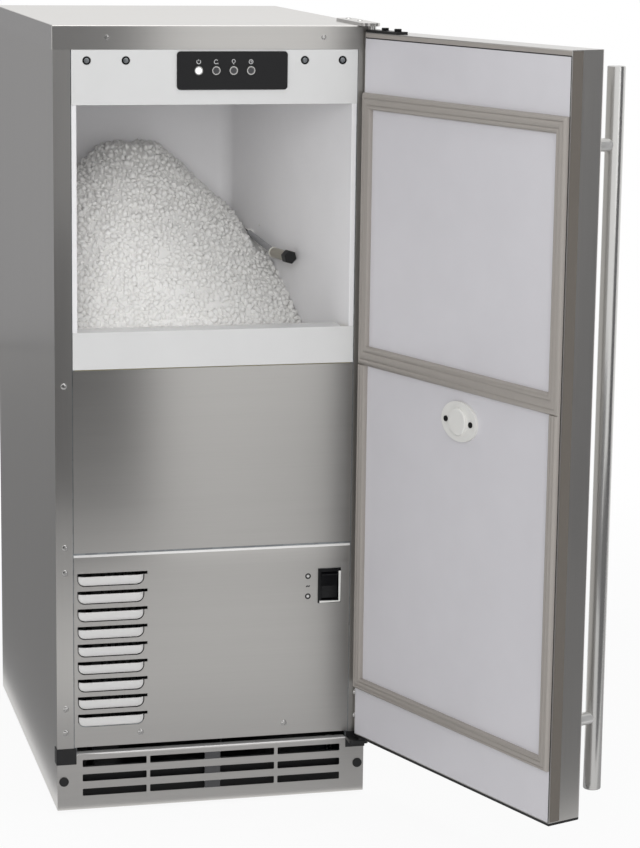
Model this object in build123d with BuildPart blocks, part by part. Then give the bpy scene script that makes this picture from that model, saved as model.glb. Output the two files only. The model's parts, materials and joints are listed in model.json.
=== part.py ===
from build123d import *
import os
from math import atan2, cos, hypot, radians, sin

# Free-standing nugget ice maker with a right-hinged door, shown open.
# Millimetres. The origin is on the floor under the middle of the cabinet,
# +X is to the right, +Z is up and the front faces -Y.

# Cabinet shell
WIDTH = 362.0
DEPTH = 500.0
HEIGHT = 892.0
SHEET = 1.0
FOLD_RADIUS = 1.6
COVER_FOLD = 26.0
STRIP = 19.0
FLOOR_GAP = 4.0
PANEL_GAP = 1.0
FRAME_SHEET = 1.5
POST_DEPTH = 24.0
RAIL_HEIGHT = 28.0
TAB_WIDTH = 64.0
TAB_DROP = 20.0

# Kick grille and the blocks above its ends
KICK_TOP = 70.0
KICK_LIP = 9.0
KICK_GAP = 8.0
BLOCK_WIDTH = 22.0
BLOCK_LOW = 58.0
BLOCK_HEIGHT = 19.0
BLOCK_PROUD = 1.0
BLOCK_WING = 14.0
SLOT_HEIGHT = 8.5
SLOT_ROWS = 3
SLOT_PITCH = 17.2
SLOT_LOW = 24.0
SLOT_INNER = 64.0
SLOT_OUTER = 74.0
SLOT_WEB = 4.0
SLOT_CENTRE_WEB = 18.0
SLOT_CORNER = 1.2
PLUG_Z = 38.0
PLUG_IN = 7.5
PLUG_HEAD = 5.5
PLUG_SHANK = 4.0
PLUG_PROUD = 1.6
PLUG_LENGTH = 9.0

# Front panels
SERVICE_HEIGHT = 226.0
MIDDLE_HEIGHT = 208.0
SILL_HEIGHT = 41.5
SILL_PROUD = 0.4
SILL_LIP = 4.0
FASCIA_HEIGHT = 60.0
FASCIA_PROUD = 1.0
LOUVRES = 9
LOUVRE_LENGTH = 80.0
LOUVRE_PITCH = 20.6
LOUVRE_RISE = 11.0
LOUVRE_PROUD = 4.0
LOUVRE_TOP = 26.0
LOUVRE_SIDE = 4.0
LOUVRE_SLIT = 3.5

# Ice bin
LINER = 2.5
LINER_LIP = 6.5
MACHINE_DEPTH = 170.0
BIN_TAPER = 70.0
BIN_CORNER = 16.0
BIN_WALL = 32.5
BIN_FLOOR_RISE = 21.0
CEILING_RISE = 6.0
FOAM_BACK = 37.0
FOAM_TOP = 20.0
FOAM_SIDE_GAP = 0.5
DRAIN_RADIUS = 8.0
DRAIN_WALL = 1.5

# Ice heap
HEAP_X = -45.0
HEAP_BACK = 40.0
HEAP_DROP = 78.0
HEAP_SLOPE = 0.93
HEAP_CREST = 34.0
HEAP_ROOM = 1.0

# Bin sensor along the right wall
SENSOR_CLIMB = 11.5
SENSOR_OFF = 11.0
SENSOR_BACK = 161.3
SENSOR_LENGTH = 76.0
SENSOR_RADIUS = 3.5
CAPILLARY_RADIUS = 1.5
CAPILLARY_GAP = 1.5
SLEEVE_RADIUS = 6.0
SLEEVE_LENGTH = 26.0
CAP_RADIUS = 9.0
CAP_LENGTH = 22.0
CAP_ROUND = 1.8

# Control panel and its buttons
PANEL_WIDTH = 124.0
PANEL_HEIGHT = 42.0
PANEL_THICK = 2.0
PANEL_X_SHIFT = 18.0
PANEL_CORNER = 4.0
PANEL_RISE = 16.0
PANEL_RIM = 5.0
PANEL_ROUND = 0.5
BUTTON_RADIUS = 5.0
BUTTON_ROOM = 0.3
BUTTON_PROUD = 0.8
BUTTON_DEPTH = 3.6
BUTTON_PITCH = 19.5
BUTTON_FIRST = -38.0
BUTTON_NAMES = ("power_button", "clean_button", "light_button", "delay_button")
BOARD_THICK = 1.6
BOARD_STANDOFF = 5.0
BOARD_PIN = 1.6
BOARD_EDGE = 2.4
CHIP_SIZE = 14.0
CHIP_THICK = 2.0

# Power rocker
SWITCH_X = 136.0
SWITCH_DROP = 50.0
BEZEL_WIDTH = 27.0
BEZEL_HEIGHT = 41.0
BEZEL_PROUD = 2.0
BEZEL_OVERHANG = 2.0
ROCKER_WIDTH = 19.0
ROCKER_RADIUS = 16.0
ROCKER_ROOM = 0.5
ROCKER_TILT = 8.0
ROCKER_DEPTH = 9.0
ROCKER_VALLEY = 2.0
PIVOT_DEPTH = 5.0
PIVOT_RADIUS = 1.5
PIVOT_STUB = 1.2
WELL_DEPTH = 16.0
SWITCH_BODY = 30.0

# Screws
SCREW_SHANK = 2.0
SCREW_HEAD = 3.6
SCREW_RISE = 1.6
SCREW_LENGTH = 9.0
STRIP_SCREWS_Z = (96.0, 124.0, 283.0, 312.0, 496.0)
STRIP_SCREW_IN = 10.0
COVER_SCREW_X = 121.0
SERVICE_SCREW_X = 84.0
SERVICE_SCREW_RISE = 14.0
FASCIA_SCREWS_X = (100.0, 143.0)
FASCIA_SCREW_RISE = 48.0
RECESS_RADIUS = 5.0
RECESS_DEPTH = 1.2
RECESS_HEAD = 4.6
FIT = 0.05

# Door
DOOR_OPEN = 110.0
DOOR_WIDTH = 361.0
DOOR_THICK = 42.0
DOOR_GAP = 8.0
DOOR_TOP_DROP = 7.0
DOOR_LIFT = 4.0
DOOR_RADIUS = 3.0
DOOR_STRIP = 3.0
HINGE_INSET = 6.5
HINGE_BACK = 5.5
DOOR_LINER = 2.5
GASKET_THICK = 6.0
GASKET_INSET = 2.0
GASKET_SIDE = 15.0
GASKET_TOP = 18.0
GASKET_MID = 22.0
GASKET_LOW = 13.0
GASKET_TOP_DROP = 66.0
GASKET_LOUVRE_GAP = 0.4
GASKET_ROUND = 1.8
MAGNET_U = 185.0
MAGNET_DROP = 34.0
MAGNET_LONG = 62.0
MAGNET_SHORT = 44.0
MAGNET_THICK = 3.5
MAGNET_DOME = 3.0
MAGNET_DOME_RADIUS = 15.0
MAGNET_SCREW_SPAN = 44.0
MAGNET_SCREW_HEAD = 3.2
MAGNET_SCREW_SHANK = 1.5
MAGNET_SCREW_RISE = 1.4

# Handle
HANDLE_RADIUS = 9.5
HANDLE_END = 18.5
HANDLE_IN = 24.5
HANDLE_OFF = 36.0
HANDLE_POST_RADIUS = 7.0
HANDLE_POST_IN = 80.0
HANDLE_CHAMFER = 1.0

# Hinges
PIN_RADIUS = 3.0
PIN_DEPTH = 20.0
PIN_CHAMFER = 0.6
BUSH_WALL = 1.5
BUSH_END = 2.0
LEAF_THICK = 3.0
LEAF_LENGTH = 58.0
LEAF_WIDTH = 15.0
LEAF_EDGE = 0.5
LEAF_BOLTS_U = (20.0, 44.0)
LEAF_BOLT_RADIUS = 4.0
LEAF_BOLT_RISE = 3.0
PLATE_THICK = 3.5
PLATE_WIDTH = 21.0
PLATE_REACH = 9.0
PLATE_CORNER = 8.0
PLATE_BACK = 105.0
PLATE_SCREWS = (32.0, 84.0)
BRACKET_THICK = 4.0
BRACKET_GAP = 2.0

# Base and feet
BASE_Z = 30.0
BASE_FLANGE = 20.0
APRON_IN = 12.0
FOOT_X = 150.0
FOOT_IN = 46.0
FOOT_RADIUS = 17.0
FOOT_THICK = 8.0
FOOT_STEM = 5.0
FOOT_RISE = 58.0
FOOT_CHAMFER = 1.0
FOOT_NAMES = ("front_left_foot", "front_right_foot", "rear_left_foot", "rear_right_foot")
BOSS_WALL = 5.0
BOSS_GAP = 0.3

# Ice-making column at the rear
COLUMN_X = -45.0
COLUMN_BACK = 64.0
GEARBOX_SIZE = 104.0
GEARBOX_HEIGHT = 70.0
MOTOR_RADIUS = 36.0
MOTOR_HEIGHT = 46.0
EVAPORATOR_RADIUS = 44.0
EVAPORATOR_BORE = 32.0
COIL_RADIUS = 4.0
COIL_TURNS = 16
AUGER_SHAFT = 11.0
AUGER_PITCH = 40.0
AUGER_FLIGHT = 4.0
AUGER_ROOM = 1.0
HEAD_HEIGHT = 60.0
HEAD_RADIUS = 40.0
HEAD_HOLES = 6
HEAD_HOLE_RADIUS = 7.0
HEAD_RIM = 6.0
AUGER_SEAT = 34.0
EVAPORATOR_FLANGE = 5.0
GEARBOX_CORNER = 8.0

# Ice chute
CHUTE_WIDTH = 76.0
CHUTE_HEIGHT = 48.0
CHUTE_WALL = 2.0
CHUTE_ROOM = 1.5
CHUTE_REAR = 42.0
SPOUT_WIDTH = 64.0
SPOUT_DEPTH = 56.0
SPOUT_DROP = 6.0

# Water supply
TANK_X = 95.0
TANK_WIDTH = 110.0
TANK_DEPTH = 92.0
TANK_HEIGHT = 96.0
TANK_WALL = 2.5
TANK_RISE = 270.0
FLOAT_PIVOT_IN = 14.0
FLOAT_PIVOT_DROP = 16.0
FLOAT_AXLE = 2.0
FLOAT_HUB = 5.0
FLOAT_ARM = 40.0
FLOAT_BAR = 4.0
FLOAT_SIZE = 28.0
FLOAT_HEIGHT = 18.0
FLOAT_HANG = 16.0
VALVE_X = -80.0
VALVE_Z = 190.0
VALVE_SIZE = 36.0
VALVE_COIL_RADIUS = 14.0
VALVE_COIL_LENGTH = 34.0
NIPPLE_RADIUS = 10.0
NIPPLE_BORE = 6.0
NIPPLE_OUT = 12.0
DRAIN_X = -132.0
DRAIN_IN = 296.0
DRAIN_Z = 104.0
DRAIN_BEND = 30.0
GLAND_X = 60.0
GLAND_Z = 96.0
GLAND_RADIUS = 8.0
GLAND_FLANGE = 12.0
GLAND_OUT = 12.0
GLAND_IN = 10.0
GLAND_BORE = 4.0
GLAND_RIM = 3.0

# Refrigeration
COMPRESSOR_X = 78.0
COMPRESSOR_BACK = 135.0
COMPRESSOR_RADIUS = 74.0
COMPRESSOR_HEIGHT = 165.0
COMPRESSOR_DOME = 30.0
COMPRESSOR_FEET = 14.0
COMPRESSOR_PLATE = 3.0
COMPRESSOR_PLATE_SIZE = 160.0
GROMMET_RADIUS = 11.0
GROMMET_SPAN = 130.0
CONDENSER_X = -58.0
CONDENSER_WIDTH = 148.0
CONDENSER_IN = 36.0
CONDENSER_DEPTH = 44.0
CONDENSER_LIFT = 44.0
CONDENSER_HEAD_ROOM = 14.0
CONDENSER_PLATE = 2.0
FIN_PITCH = 8.0
FIN_SLOT = 4.0
FIN_SLOT_DEPTH = 10.0
FAN_RADIUS = 74.0
FAN_BLADES = 5
FAN_HUB = 16.0
FAN_HUB_LENGTH = 22.0
FAN_BLADE_THICK = 2.0
FAN_BLADE_WIDTH = 34.0
FAN_BLADE_PITCH = 30.0
FAN_GAP = 16.0
FAN_SHAFT = 4.0
FAN_MOTOR_RADIUS = 29.0
FAN_MOTOR_LENGTH = 36.0
FAN_RUN_GAP = 4.0
FAN_BRACKET = 3.0
FAN_BRACKET_WIDTH = 50.0
FAN_BRACKET_FOOT = 30.0

# Rear panel
VENT_ROWS = 8
VENT_COLUMNS = 3
VENT_LENGTH = 60.0
VENT_HEIGHT = 5.0
VENT_PITCH_X = 80.0
VENT_PITCH_Z = 14.0
VENT_Z = 240.0
VENT_X = 60.0
REAR_FLANGE = 20.0

# Places worked out from the driving sizes
FRONT = -DEPTH / 2
BACK = DEPTH / 2
SHELL_X = WIDTH / 2 - SHEET
INNER_X = SHELL_X - SHEET
POST_X = INNER_X - FRAME_SHEET
STRIP_X = SHELL_X - STRIP
PANEL_X = STRIP_X - PANEL_GAP
COVER_LOW = HEIGHT - COVER_FOLD
COVER_IN = HEIGHT - SHEET
FRAME_Y = FRONT + SHEET
RAIL_Y = FRAME_Y + FRAME_SHEET
REAR_IN = BACK - SHEET - SHEET
BLOCK_TOP = BLOCK_LOW + BLOCK_HEIGHT
SERVICE_LOW = KICK_TOP + KICK_GAP
SERVICE_TOP = SERVICE_LOW + SERVICE_HEIGHT
MIDDLE_LOW = SERVICE_TOP + PANEL_GAP
MIDDLE_TOP = MIDDLE_LOW + MIDDLE_HEIGHT
SILL_LOW = MIDDLE_TOP + PANEL_GAP
SILL_TOP = SILL_LOW + SILL_HEIGHT
SILL_BASE = SILL_TOP - SILL_LIP
FASCIA_LOW = COVER_LOW - FASCIA_HEIGHT
CEILING = FASCIA_LOW + CEILING_RISE
BASE_TOP = BASE_Z + FRAME_SHEET
APRON_Y = FRONT + APRON_IN
SHELF_TOP = MIDDLE_LOW + FRAME_SHEET
SHELF_LOW = SHELF_TOP - FRAME_SHEET

BIN_HALF = STRIP_X - LINER_LIP
BIN_DEPTH = DEPTH - MACHINE_DEPTH
BIN_REAR = FRONT + BIN_DEPTH
BIN_FRONT = FRONT + BIN_WALL
BIN_FLOOR = SHELF_TOP + BIN_FLOOR_RISE
LEAF_X = BIN_HALF + LINER + FOAM_SIDE_GAP
TAPER_ANGLE = atan2(BIN_TAPER, BIN_DEPTH)
FOAM_REAR = BIN_REAR + LINER + FOAM_BACK
FOAM_FRONT = FRAME_Y + POST_DEPTH
FOAM_HIGH = CEILING + LINER + FOAM_TOP

HEAP_Y = BIN_REAR - HEAP_BACK
HEAP_TOP = CEILING - HEAP_DROP
PANEL_Z = FASCIA_LOW + PANEL_RISE + PANEL_HEIGHT / 2
PANEL_BACK_Y = FRONT - FASCIA_PROUD
PANEL_FRONT_Y = PANEL_BACK_Y - PANEL_THICK
LOUVRE_TOPS = [SERVICE_TOP - LOUVRE_TOP - i * LOUVRE_PITCH for i in range(LOUVRES)]
SWITCH_Z = SERVICE_TOP - SWITCH_DROP
COLUMN_Y = BACK - COLUMN_BACK
CHUTE_LOW = FOAM_HIGH + CHUTE_ROOM
GEARBOX_TOP = SHELF_TOP + MOTOR_HEIGHT + GEARBOX_HEIGHT
HEAD_LOW = CHUTE_LOW - HEAD_HEIGHT
EVAPORATOR_HEIGHT = HEAD_LOW - GEARBOX_TOP

HINGE_X = SHELL_X - HINGE_INSET
HINGE_Y = FRONT - DOOR_GAP - HINGE_BACK
DOOR_TOP = HEIGHT - DOOR_TOP_DROP
DOOR_LOW = KICK_TOP + DOOR_LIFT
PAN_LOW = DOOR_LOW + DOOR_STRIP
DOOR_NEAR = -HINGE_INSET
DOOR_FAR = DOOR_WIDTH - HINGE_INSET
DOOR_IN = -HINGE_BACK
DOOR_OUT = DOOR_THICK - HINGE_BACK
BUSH_RADIUS = PIN_RADIUS + FIT + BUSH_WALL
OPEN = radians(DOOR_OPEN)
DOOR_PLANE = Plane(origin=(HINGE_X, HINGE_Y, 0), x_dir=(-cos(OPEN), -sin(OPEN), 0), z_dir=(0, 0, 1))

FOOT_Y = (FRONT + FOOT_IN, BACK - FOOT_IN)
FOOT_SPOTS = [(x, y) for y in FOOT_Y for x in (-FOOT_X, FOOT_X)]
STRIP_SCREW_X = SHELL_X - STRIP_SCREW_IN
STRIP_SPOTS = [(side * STRIP_SCREW_X, z) for side in (-1, 1) for z in STRIP_SCREWS_Z]
COVER_SPOTS = [(side * COVER_SCREW_X, COVER_LOW + COVER_FOLD / 2) for side in (-1, 1)]
SERVICE_SPOTS = [(side * SERVICE_SCREW_X, SERVICE_LOW + SERVICE_SCREW_RISE) for side in (-1, 1)]
FASCIA_SPOTS = [(side * x, FASCIA_LOW + FASCIA_SCREW_RISE) for side in (-1, 1) for x in FASCIA_SCREWS_X]
PLUG_SPOTS = [(side * (SHELL_X - PLUG_IN), PLUG_Z) for side in (-1, 1)]
BUTTON_SPOTS = [(PANEL_X_SHIFT + BUTTON_FIRST + i * BUTTON_PITCH, PANEL_Z) for i in range(len(BUTTON_NAMES))]
PLATE_X = SHELL_X + SHEET - PLATE_WIDTH / 2
PLATE_SPOTS = [(PLATE_X, FRONT + y) for y in PLATE_SCREWS]


def slab(x, y, z, mode=Mode.ADD):
    """Add or cut a box between two x, two y and two z values."""
    with Locations(((x[0] + x[1]) / 2, (y[0] + y[1]) / 2, (z[0] + z[1]) / 2)):
        Box(abs(x[1] - x[0]), abs(y[1] - y[0]), abs(z[1] - z[0]), mode=mode)


def front_plane(y):
    """Plane across the cabinet at y, drawn as seen from the front; a negative extrusion goes back."""
    return Plane.XZ.offset(-y)


def rods_back(spots, radius, y, length, mode=Mode.ADD):
    """Round rods or holes running back from the plane at y."""
    with BuildSketch(front_plane(y)) as ends:
        with Locations(*spots):
            Circle(radius)
    extrude(ends.sketch, amount=-length, mode=mode)


def rods_up(spots, radius, z, length, mode=Mode.ADD):
    """Round rods or holes running up from the plane at z."""
    with BuildSketch(Plane.XY.offset(z)) as ends:
        with Locations(*spots):
            Circle(radius)
    extrude(ends.sketch, amount=length, mode=mode)


def right_wall(y, margin):
    """Place of the bin's tapering right wall at y, grown by a margin."""
    return BIN_HALF - (y - FRONT) * BIN_TAPER / BIN_DEPTH + margin / cos(TAPER_ANGLE)


def bin_block(margin, front, low, high, mode=Mode.ADD):
    """The bin's inner space, grown by a margin, from a front line to its rear wall."""
    rear = BIN_REAR + margin
    left = -BIN_HALF - margin
    with BuildSketch(Plane.XY.offset(low)) as plan:
        with BuildLine():
            Polyline(
                (left, front),
                (right_wall(front, margin), front),
                (right_wall(rear, margin), rear),
                (left, rear),
                close=True,
            )
        make_face()
        fillet(plan.vertices().group_by(Axis.Y)[-1], BIN_CORNER + margin)
    extrude(plan.sketch, amount=high - low, mode=mode)


def wall_point(ahead, off, z):
    """Point beside the bin's right wall: its way ahead of the rear wall, its distance off and its height."""
    x = BIN_HALF - BIN_TAPER + ahead * sin(TAPER_ANGLE) - off * cos(TAPER_ANGLE)
    y = BIN_REAR - ahead * cos(TAPER_ANGLE) - off * sin(TAPER_ANGLE)
    return Vector(x, y, z)


def heap_height(spot):
    """Height of the heap's sloping side over a place in the bin."""
    return HEAP_TOP - (hypot(spot.X - HEAP_X, spot.Y - HEAP_Y) - HEAP_CREST) * HEAP_SLOPE


def door_face(v):
    """Plane across the door at v, with u and height as its axes; a positive extrusion goes inwards."""
    origin = DOOR_PLANE.from_local_coords(Vector(0, v, 0))
    return Plane(origin=origin, x_dir=DOOR_PLANE.x_dir, z_dir=-DOOR_PLANE.y_dir)


os.makedirs("parts", exist_ok=True)

# Cabinet shell

with BuildPart() as top_cover:
    slab((-WIDTH / 2, WIDTH / 2), (FRONT - SHEET, BACK), (COVER_LOW, HEIGHT))
    fillet(top_cover.edges().filter_by(Axis.Z), FOLD_RADIUS)
    fillet(top_cover.faces().sort_by(Axis.Z)[-1].edges(), FOLD_RADIUS)
    slab((-SHELL_X, SHELL_X), (FRONT, BACK - SHEET), (COVER_LOW - SHEET, COVER_IN), Mode.SUBTRACT)
    rods_back(COVER_SPOTS, SCREW_SHANK + FIT, FRONT - SHEET, SHEET, Mode.SUBTRACT)
    rods_up(PLATE_SPOTS, SCREW_SHANK + FIT, COVER_IN, SHEET, Mode.SUBTRACT)
top_cover.part.label = "top_cover"
export_step(top_cover.part, "parts/top_cover.step")

for side, name in ((-1, "left_side_panel"), (1, "right_side_panel")):
    with BuildPart() as side_panel:
        slab((side * INNER_X, side * SHELL_X), (FRONT, BACK - SHEET), (FLOOR_GAP, COVER_IN))
        slab((side * STRIP_X, side * SHELL_X), (FRONT, FRAME_Y), (BLOCK_TOP, COVER_IN))
        slab((side * INNER_X, side * SHELL_X), (FRONT, FRAME_Y), (FLOOR_GAP, BLOCK_TOP), Mode.SUBTRACT)
        spots = [spot for spot in STRIP_SPOTS if spot[0] * side > 0]
        rods_back(spots, SCREW_SHANK + FIT, FRONT, SHEET, Mode.SUBTRACT)
    side_panel.part.label = name
    export_step(side_panel.part, f"parts/{name}.step")

with BuildPart() as rear_panel:
    slab((-INNER_X, INNER_X), (REAR_IN, BACK - SHEET), (FLOOR_GAP, COVER_IN))
    for side in (-1, 1):
        flange_x = (side * (INNER_X - SHEET), side * INNER_X)
        slab(flange_x, (REAR_IN - REAR_FLANGE, REAR_IN), (FLOOR_GAP, COVER_IN))
    with BuildSketch(front_plane(REAR_IN)):
        with Locations((VENT_X, VENT_Z)):
            with GridLocations(VENT_PITCH_X, VENT_PITCH_Z, VENT_COLUMNS, VENT_ROWS):
                SlotOverall(VENT_LENGTH, VENT_HEIGHT)
    extrude(amount=-SHEET, mode=Mode.SUBTRACT)
    rods_back([(VALVE_X, VALVE_Z)], NIPPLE_RADIUS + FIT, REAR_IN, SHEET, Mode.SUBTRACT)
    rods_back([(DRAIN_X, DRAIN_Z)], DRAIN_RADIUS + FIT, REAR_IN, SHEET, Mode.SUBTRACT)
    rods_back([(GLAND_X, GLAND_Z)], GLAND_RADIUS + FIT, REAR_IN, SHEET, Mode.SUBTRACT)
rear_panel.part.label = "rear_panel"
export_step(rear_panel.part, "parts/rear_panel.step")

with BuildPart() as base_pan:
    pan_x = POST_X - FRAME_SHEET
    slab((-pan_x, pan_x), (FRAME_Y, REAR_IN), (BASE_Z, BASE_TOP))
    for side in (-1, 1):
        flange_x = (side * (pan_x - FRAME_SHEET), side * pan_x)
        slab(flange_x, (FOAM_FRONT, REAR_IN - REAR_FLANGE), (BASE_Z, BASE_TOP + BASE_FLANGE))
    slab((-LEAF_X, LEAF_X), (APRON_Y, APRON_Y + FRAME_SHEET), (FLOOR_GAP, BASE_TOP + BASE_FLANGE))
    rods_up(FOOT_SPOTS, FOOT_STEM + BOSS_WALL, FOOT_THICK + BOSS_GAP, BASE_Z - FOOT_THICK - BOSS_GAP)
    rods_up(FOOT_SPOTS, FOOT_STEM + FIT, FOOT_THICK, BASE_TOP - FOOT_THICK, Mode.SUBTRACT)
base_pan.part.label = "base_pan"
export_step(base_pan.part, "parts/base_pan.step")

with BuildPart() as inner_frame:
    rail_x = (-LEAF_X, LEAF_X)
    rail_y = (FRAME_Y, RAIL_Y)
    shelf_y = (FRAME_Y, REAR_IN - REAR_FLANGE)
    for side in (-1, 1):
        post_x = (side * POST_X, side * INNER_X)
        tab_x = (side * (LEAF_X - TAB_WIDTH), side * LEAF_X)
        slab(post_x, (FRAME_Y, FRAME_Y + POST_DEPTH), (BASE_TOP, COVER_IN))
        slab((side * LEAF_X, side * INNER_X), rail_y, (BASE_TOP, COVER_IN))
        slab(tab_x, rail_y, (COVER_LOW - TAB_DROP, COVER_LOW))
        slab(post_x, shelf_y, (SHELF_LOW - BASE_FLANGE, SHELF_TOP))
    slab(rail_x, rail_y, (SERVICE_LOW, SERVICE_LOW + RAIL_HEIGHT))
    slab(rail_x, rail_y, (SERVICE_TOP - RAIL_HEIGHT / 2, SERVICE_TOP + RAIL_HEIGHT / 2))
    slab(rail_x, rail_y, (COVER_LOW, COVER_IN))
    slab((-POST_X, POST_X), shelf_y, (SHELF_LOW, SHELF_TOP))
    slab((SWITCH_X - BEZEL_WIDTH / 2, SWITCH_X + BEZEL_WIDTH / 2), rail_y,
         (SWITCH_Z - BEZEL_HEIGHT / 2, SWITCH_Z + BEZEL_HEIGHT / 2), Mode.SUBTRACT)
    frame_spots = STRIP_SPOTS + COVER_SPOTS + SERVICE_SPOTS + FASCIA_SPOTS
    rods_back(frame_spots, SCREW_SHANK + FIT, FRAME_Y, FRAME_SHEET, Mode.SUBTRACT)
    rods_back(PLUG_SPOTS, PLUG_SHANK + FIT, FRAME_Y, FRAME_SHEET, Mode.SUBTRACT)
    rods_up([(DRAIN_X, FRONT + DRAIN_IN)], DRAIN_RADIUS + FIT, SHELF_LOW, FRAME_SHEET, Mode.SUBTRACT)
inner_frame.part.label = "inner_frame"
export_step(inner_frame.part, "parts/inner_frame.step")

with BuildPart() as kick_grille:
    block_x = SHELL_X - BLOCK_WIDTH
    slab((-SHELL_X, SHELL_X), (FRONT, FRAME_Y), (FLOOR_GAP, BLOCK_LOW))
    slab((-block_x, block_x), (FRONT, FRAME_Y), (BLOCK_LOW, KICK_TOP))
    slab((-LEAF_X, LEAF_X), (FRAME_Y, FRAME_Y + KICK_LIP), (KICK_TOP - SHEET, KICK_TOP))
    inner_x = SLOT_CENTRE_WEB / 2 + SLOT_INNER / 2
    outer_x = SLOT_CENTRE_WEB / 2 + SLOT_INNER + SLOT_WEB + SLOT_OUTER / 2
    with BuildSketch(front_plane(FRONT)):
        for row in range(SLOT_ROWS):
            slot_z = SLOT_LOW + row * SLOT_PITCH
            with Locations((-inner_x, slot_z), (inner_x, slot_z)):
                RectangleRounded(SLOT_INNER, SLOT_HEIGHT, SLOT_CORNER)
            with Locations((-outer_x, slot_z), (outer_x, slot_z)):
                RectangleRounded(SLOT_OUTER, SLOT_HEIGHT, SLOT_CORNER)
    extrude(amount=-SHEET, mode=Mode.SUBTRACT)
    rods_back(PLUG_SPOTS, PLUG_SHANK + FIT, FRONT, SHEET, Mode.SUBTRACT)
kick_grille.part.label = "kick_grille"
export_step(kick_grille.part, "parts/kick_grille.step")

with BuildPart() as kick_plugs:
    rods_back(PLUG_SPOTS, PLUG_HEAD, FRONT - PLUG_PROUD, PLUG_PROUD)
    fillet(kick_plugs.faces().group_by(Axis.Y)[0].edges(), PLUG_PROUD / 2)
    rods_back(PLUG_SPOTS, PLUG_SHANK, FRONT, PLUG_LENGTH)
kick_plugs.part.label = "kick_plugs"
export_step(kick_plugs.part, "parts/kick_plugs.step")

with BuildPart() as corner_cap:
    slab((-SHELL_X, BLOCK_WIDTH - SHELL_X), (FRONT - BLOCK_PROUD, FRAME_Y), (BLOCK_LOW, BLOCK_TOP))
    slab((-SHELL_X - SHEET, -SHELL_X), (FRONT - BLOCK_PROUD, FRONT + BLOCK_WING), (BLOCK_LOW, BLOCK_TOP))
    fillet(corner_cap.edges().filter_by(Axis.Z).group_by(Axis.Y)[0], BLOCK_PROUD / 2)
corner_cap.part.label = "corner_cap"
export_step(corner_cap.part, "parts/corner_cap.step")

with BuildPart() as middle_panel:
    slab((-PANEL_X, PANEL_X), (FRONT, FRAME_Y), (MIDDLE_LOW, MIDDLE_TOP))
middle_panel.part.label = "middle_panel"
export_step(middle_panel.part, "parts/middle_panel.step")

with BuildPart() as service_panel:
    slab((-PANEL_X, PANEL_X), (FRONT, FRAME_Y), (SERVICE_LOW, SERVICE_TOP))
    louvre_x = -PANEL_X + LOUVRE_SIDE
    for top in LOUVRE_TOPS:
        low = top - LOUVRE_RISE
        with BuildSketch(Plane.YZ.offset(louvre_x)):
            with BuildLine():
                Polyline((FRONT, low), (FRONT - LOUVRE_PROUD, top), (FRONT, top), close=True)
            make_face()
        extrude(amount=LOUVRE_LENGTH)
        with BuildSketch(Plane.YZ.offset(louvre_x + SHEET)):
            with BuildLine():
                Polyline(
                    (FRAME_Y, low + SHEET),
                    (FRONT, low + 2 * SHEET),
                    (FRONT - LOUVRE_PROUD + SHEET, top),
                    (FRAME_Y, top),
                    close=True,
                )
            make_face()
        extrude(amount=LOUVRE_LENGTH - 2 * SHEET, mode=Mode.SUBTRACT)
        slab((louvre_x, louvre_x + LOUVRE_LENGTH), (FRONT, FRAME_Y), (top, top + LOUVRE_SLIT), Mode.SUBTRACT)
    hole_x = BEZEL_WIDTH / 2 - BEZEL_OVERHANG
    hole_z = BEZEL_HEIGHT / 2 - BEZEL_OVERHANG
    slab((SWITCH_X - hole_x, SWITCH_X + hole_x), (FRONT, FRAME_Y), (SWITCH_Z - hole_z, SWITCH_Z + hole_z),
         Mode.SUBTRACT)
    rods_back(SERVICE_SPOTS, SCREW_SHANK + FIT, FRONT, SHEET, Mode.SUBTRACT)
service_panel.part.label = "service_panel"
export_step(service_panel.part, "parts/service_panel.step")

with BuildPart() as case_screws:
    rods_back(STRIP_SPOTS + SERVICE_SPOTS, SCREW_HEAD, FRONT - SCREW_RISE, SCREW_RISE)
    rods_back(COVER_SPOTS, SCREW_HEAD, FRONT - SHEET - SCREW_RISE, SCREW_RISE)
    rods_up(PLATE_SPOTS, SCREW_HEAD, HEIGHT + PLATE_THICK, SCREW_RISE)
    crowns = case_screws.edges().filter_by(GeomType.CIRCLE)
    fillet(crowns.filter_by(lambda edge: edge.center().Z < HEIGHT).group_by(Axis.Y)[0], SCREW_RISE / 2)
    rods_back(STRIP_SPOTS + SERVICE_SPOTS, SCREW_SHANK, FRONT, SCREW_LENGTH)
    rods_back(COVER_SPOTS, SCREW_SHANK, FRONT - SHEET, SCREW_LENGTH)
    rods_up(PLATE_SPOTS, SCREW_SHANK, HEIGHT + PLATE_THICK - SCREW_LENGTH, SCREW_LENGTH)
case_screws.part.label = "case_screws"
export_step(case_screws.part, "parts/case_screws.step")

# Fascia and controls

with BuildPart() as fascia:
    slab((-PANEL_X, PANEL_X), (FRONT - FASCIA_PROUD, FRAME_Y), (FASCIA_LOW, COVER_LOW - PANEL_GAP / 2))
    slab((-PANEL_X, PANEL_X), (FRONT, FRAME_Y), (COVER_LOW - PANEL_GAP / 2, COVER_IN - SHEET))
    window_x = PANEL_WIDTH / 2 - PANEL_RIM
    window_z = PANEL_HEIGHT / 2 - PANEL_RIM
    slab((PANEL_X_SHIFT - window_x, PANEL_X_SHIFT + window_x), (FRONT - FASCIA_PROUD, FRAME_Y),
         (PANEL_Z - window_z, PANEL_Z + window_z), Mode.SUBTRACT)
    rods_back(FASCIA_SPOTS, RECESS_RADIUS, FRONT - FASCIA_PROUD, RECESS_DEPTH, Mode.SUBTRACT)
    rods_back(FASCIA_SPOTS, SCREW_SHANK + FIT, FRONT, SHEET, Mode.SUBTRACT)
    rods_back(COVER_SPOTS, SCREW_SHANK + FIT, FRONT, SHEET, Mode.SUBTRACT)
fascia.part.label = "fascia"
export_step(fascia.part, "parts/fascia.step")

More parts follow.
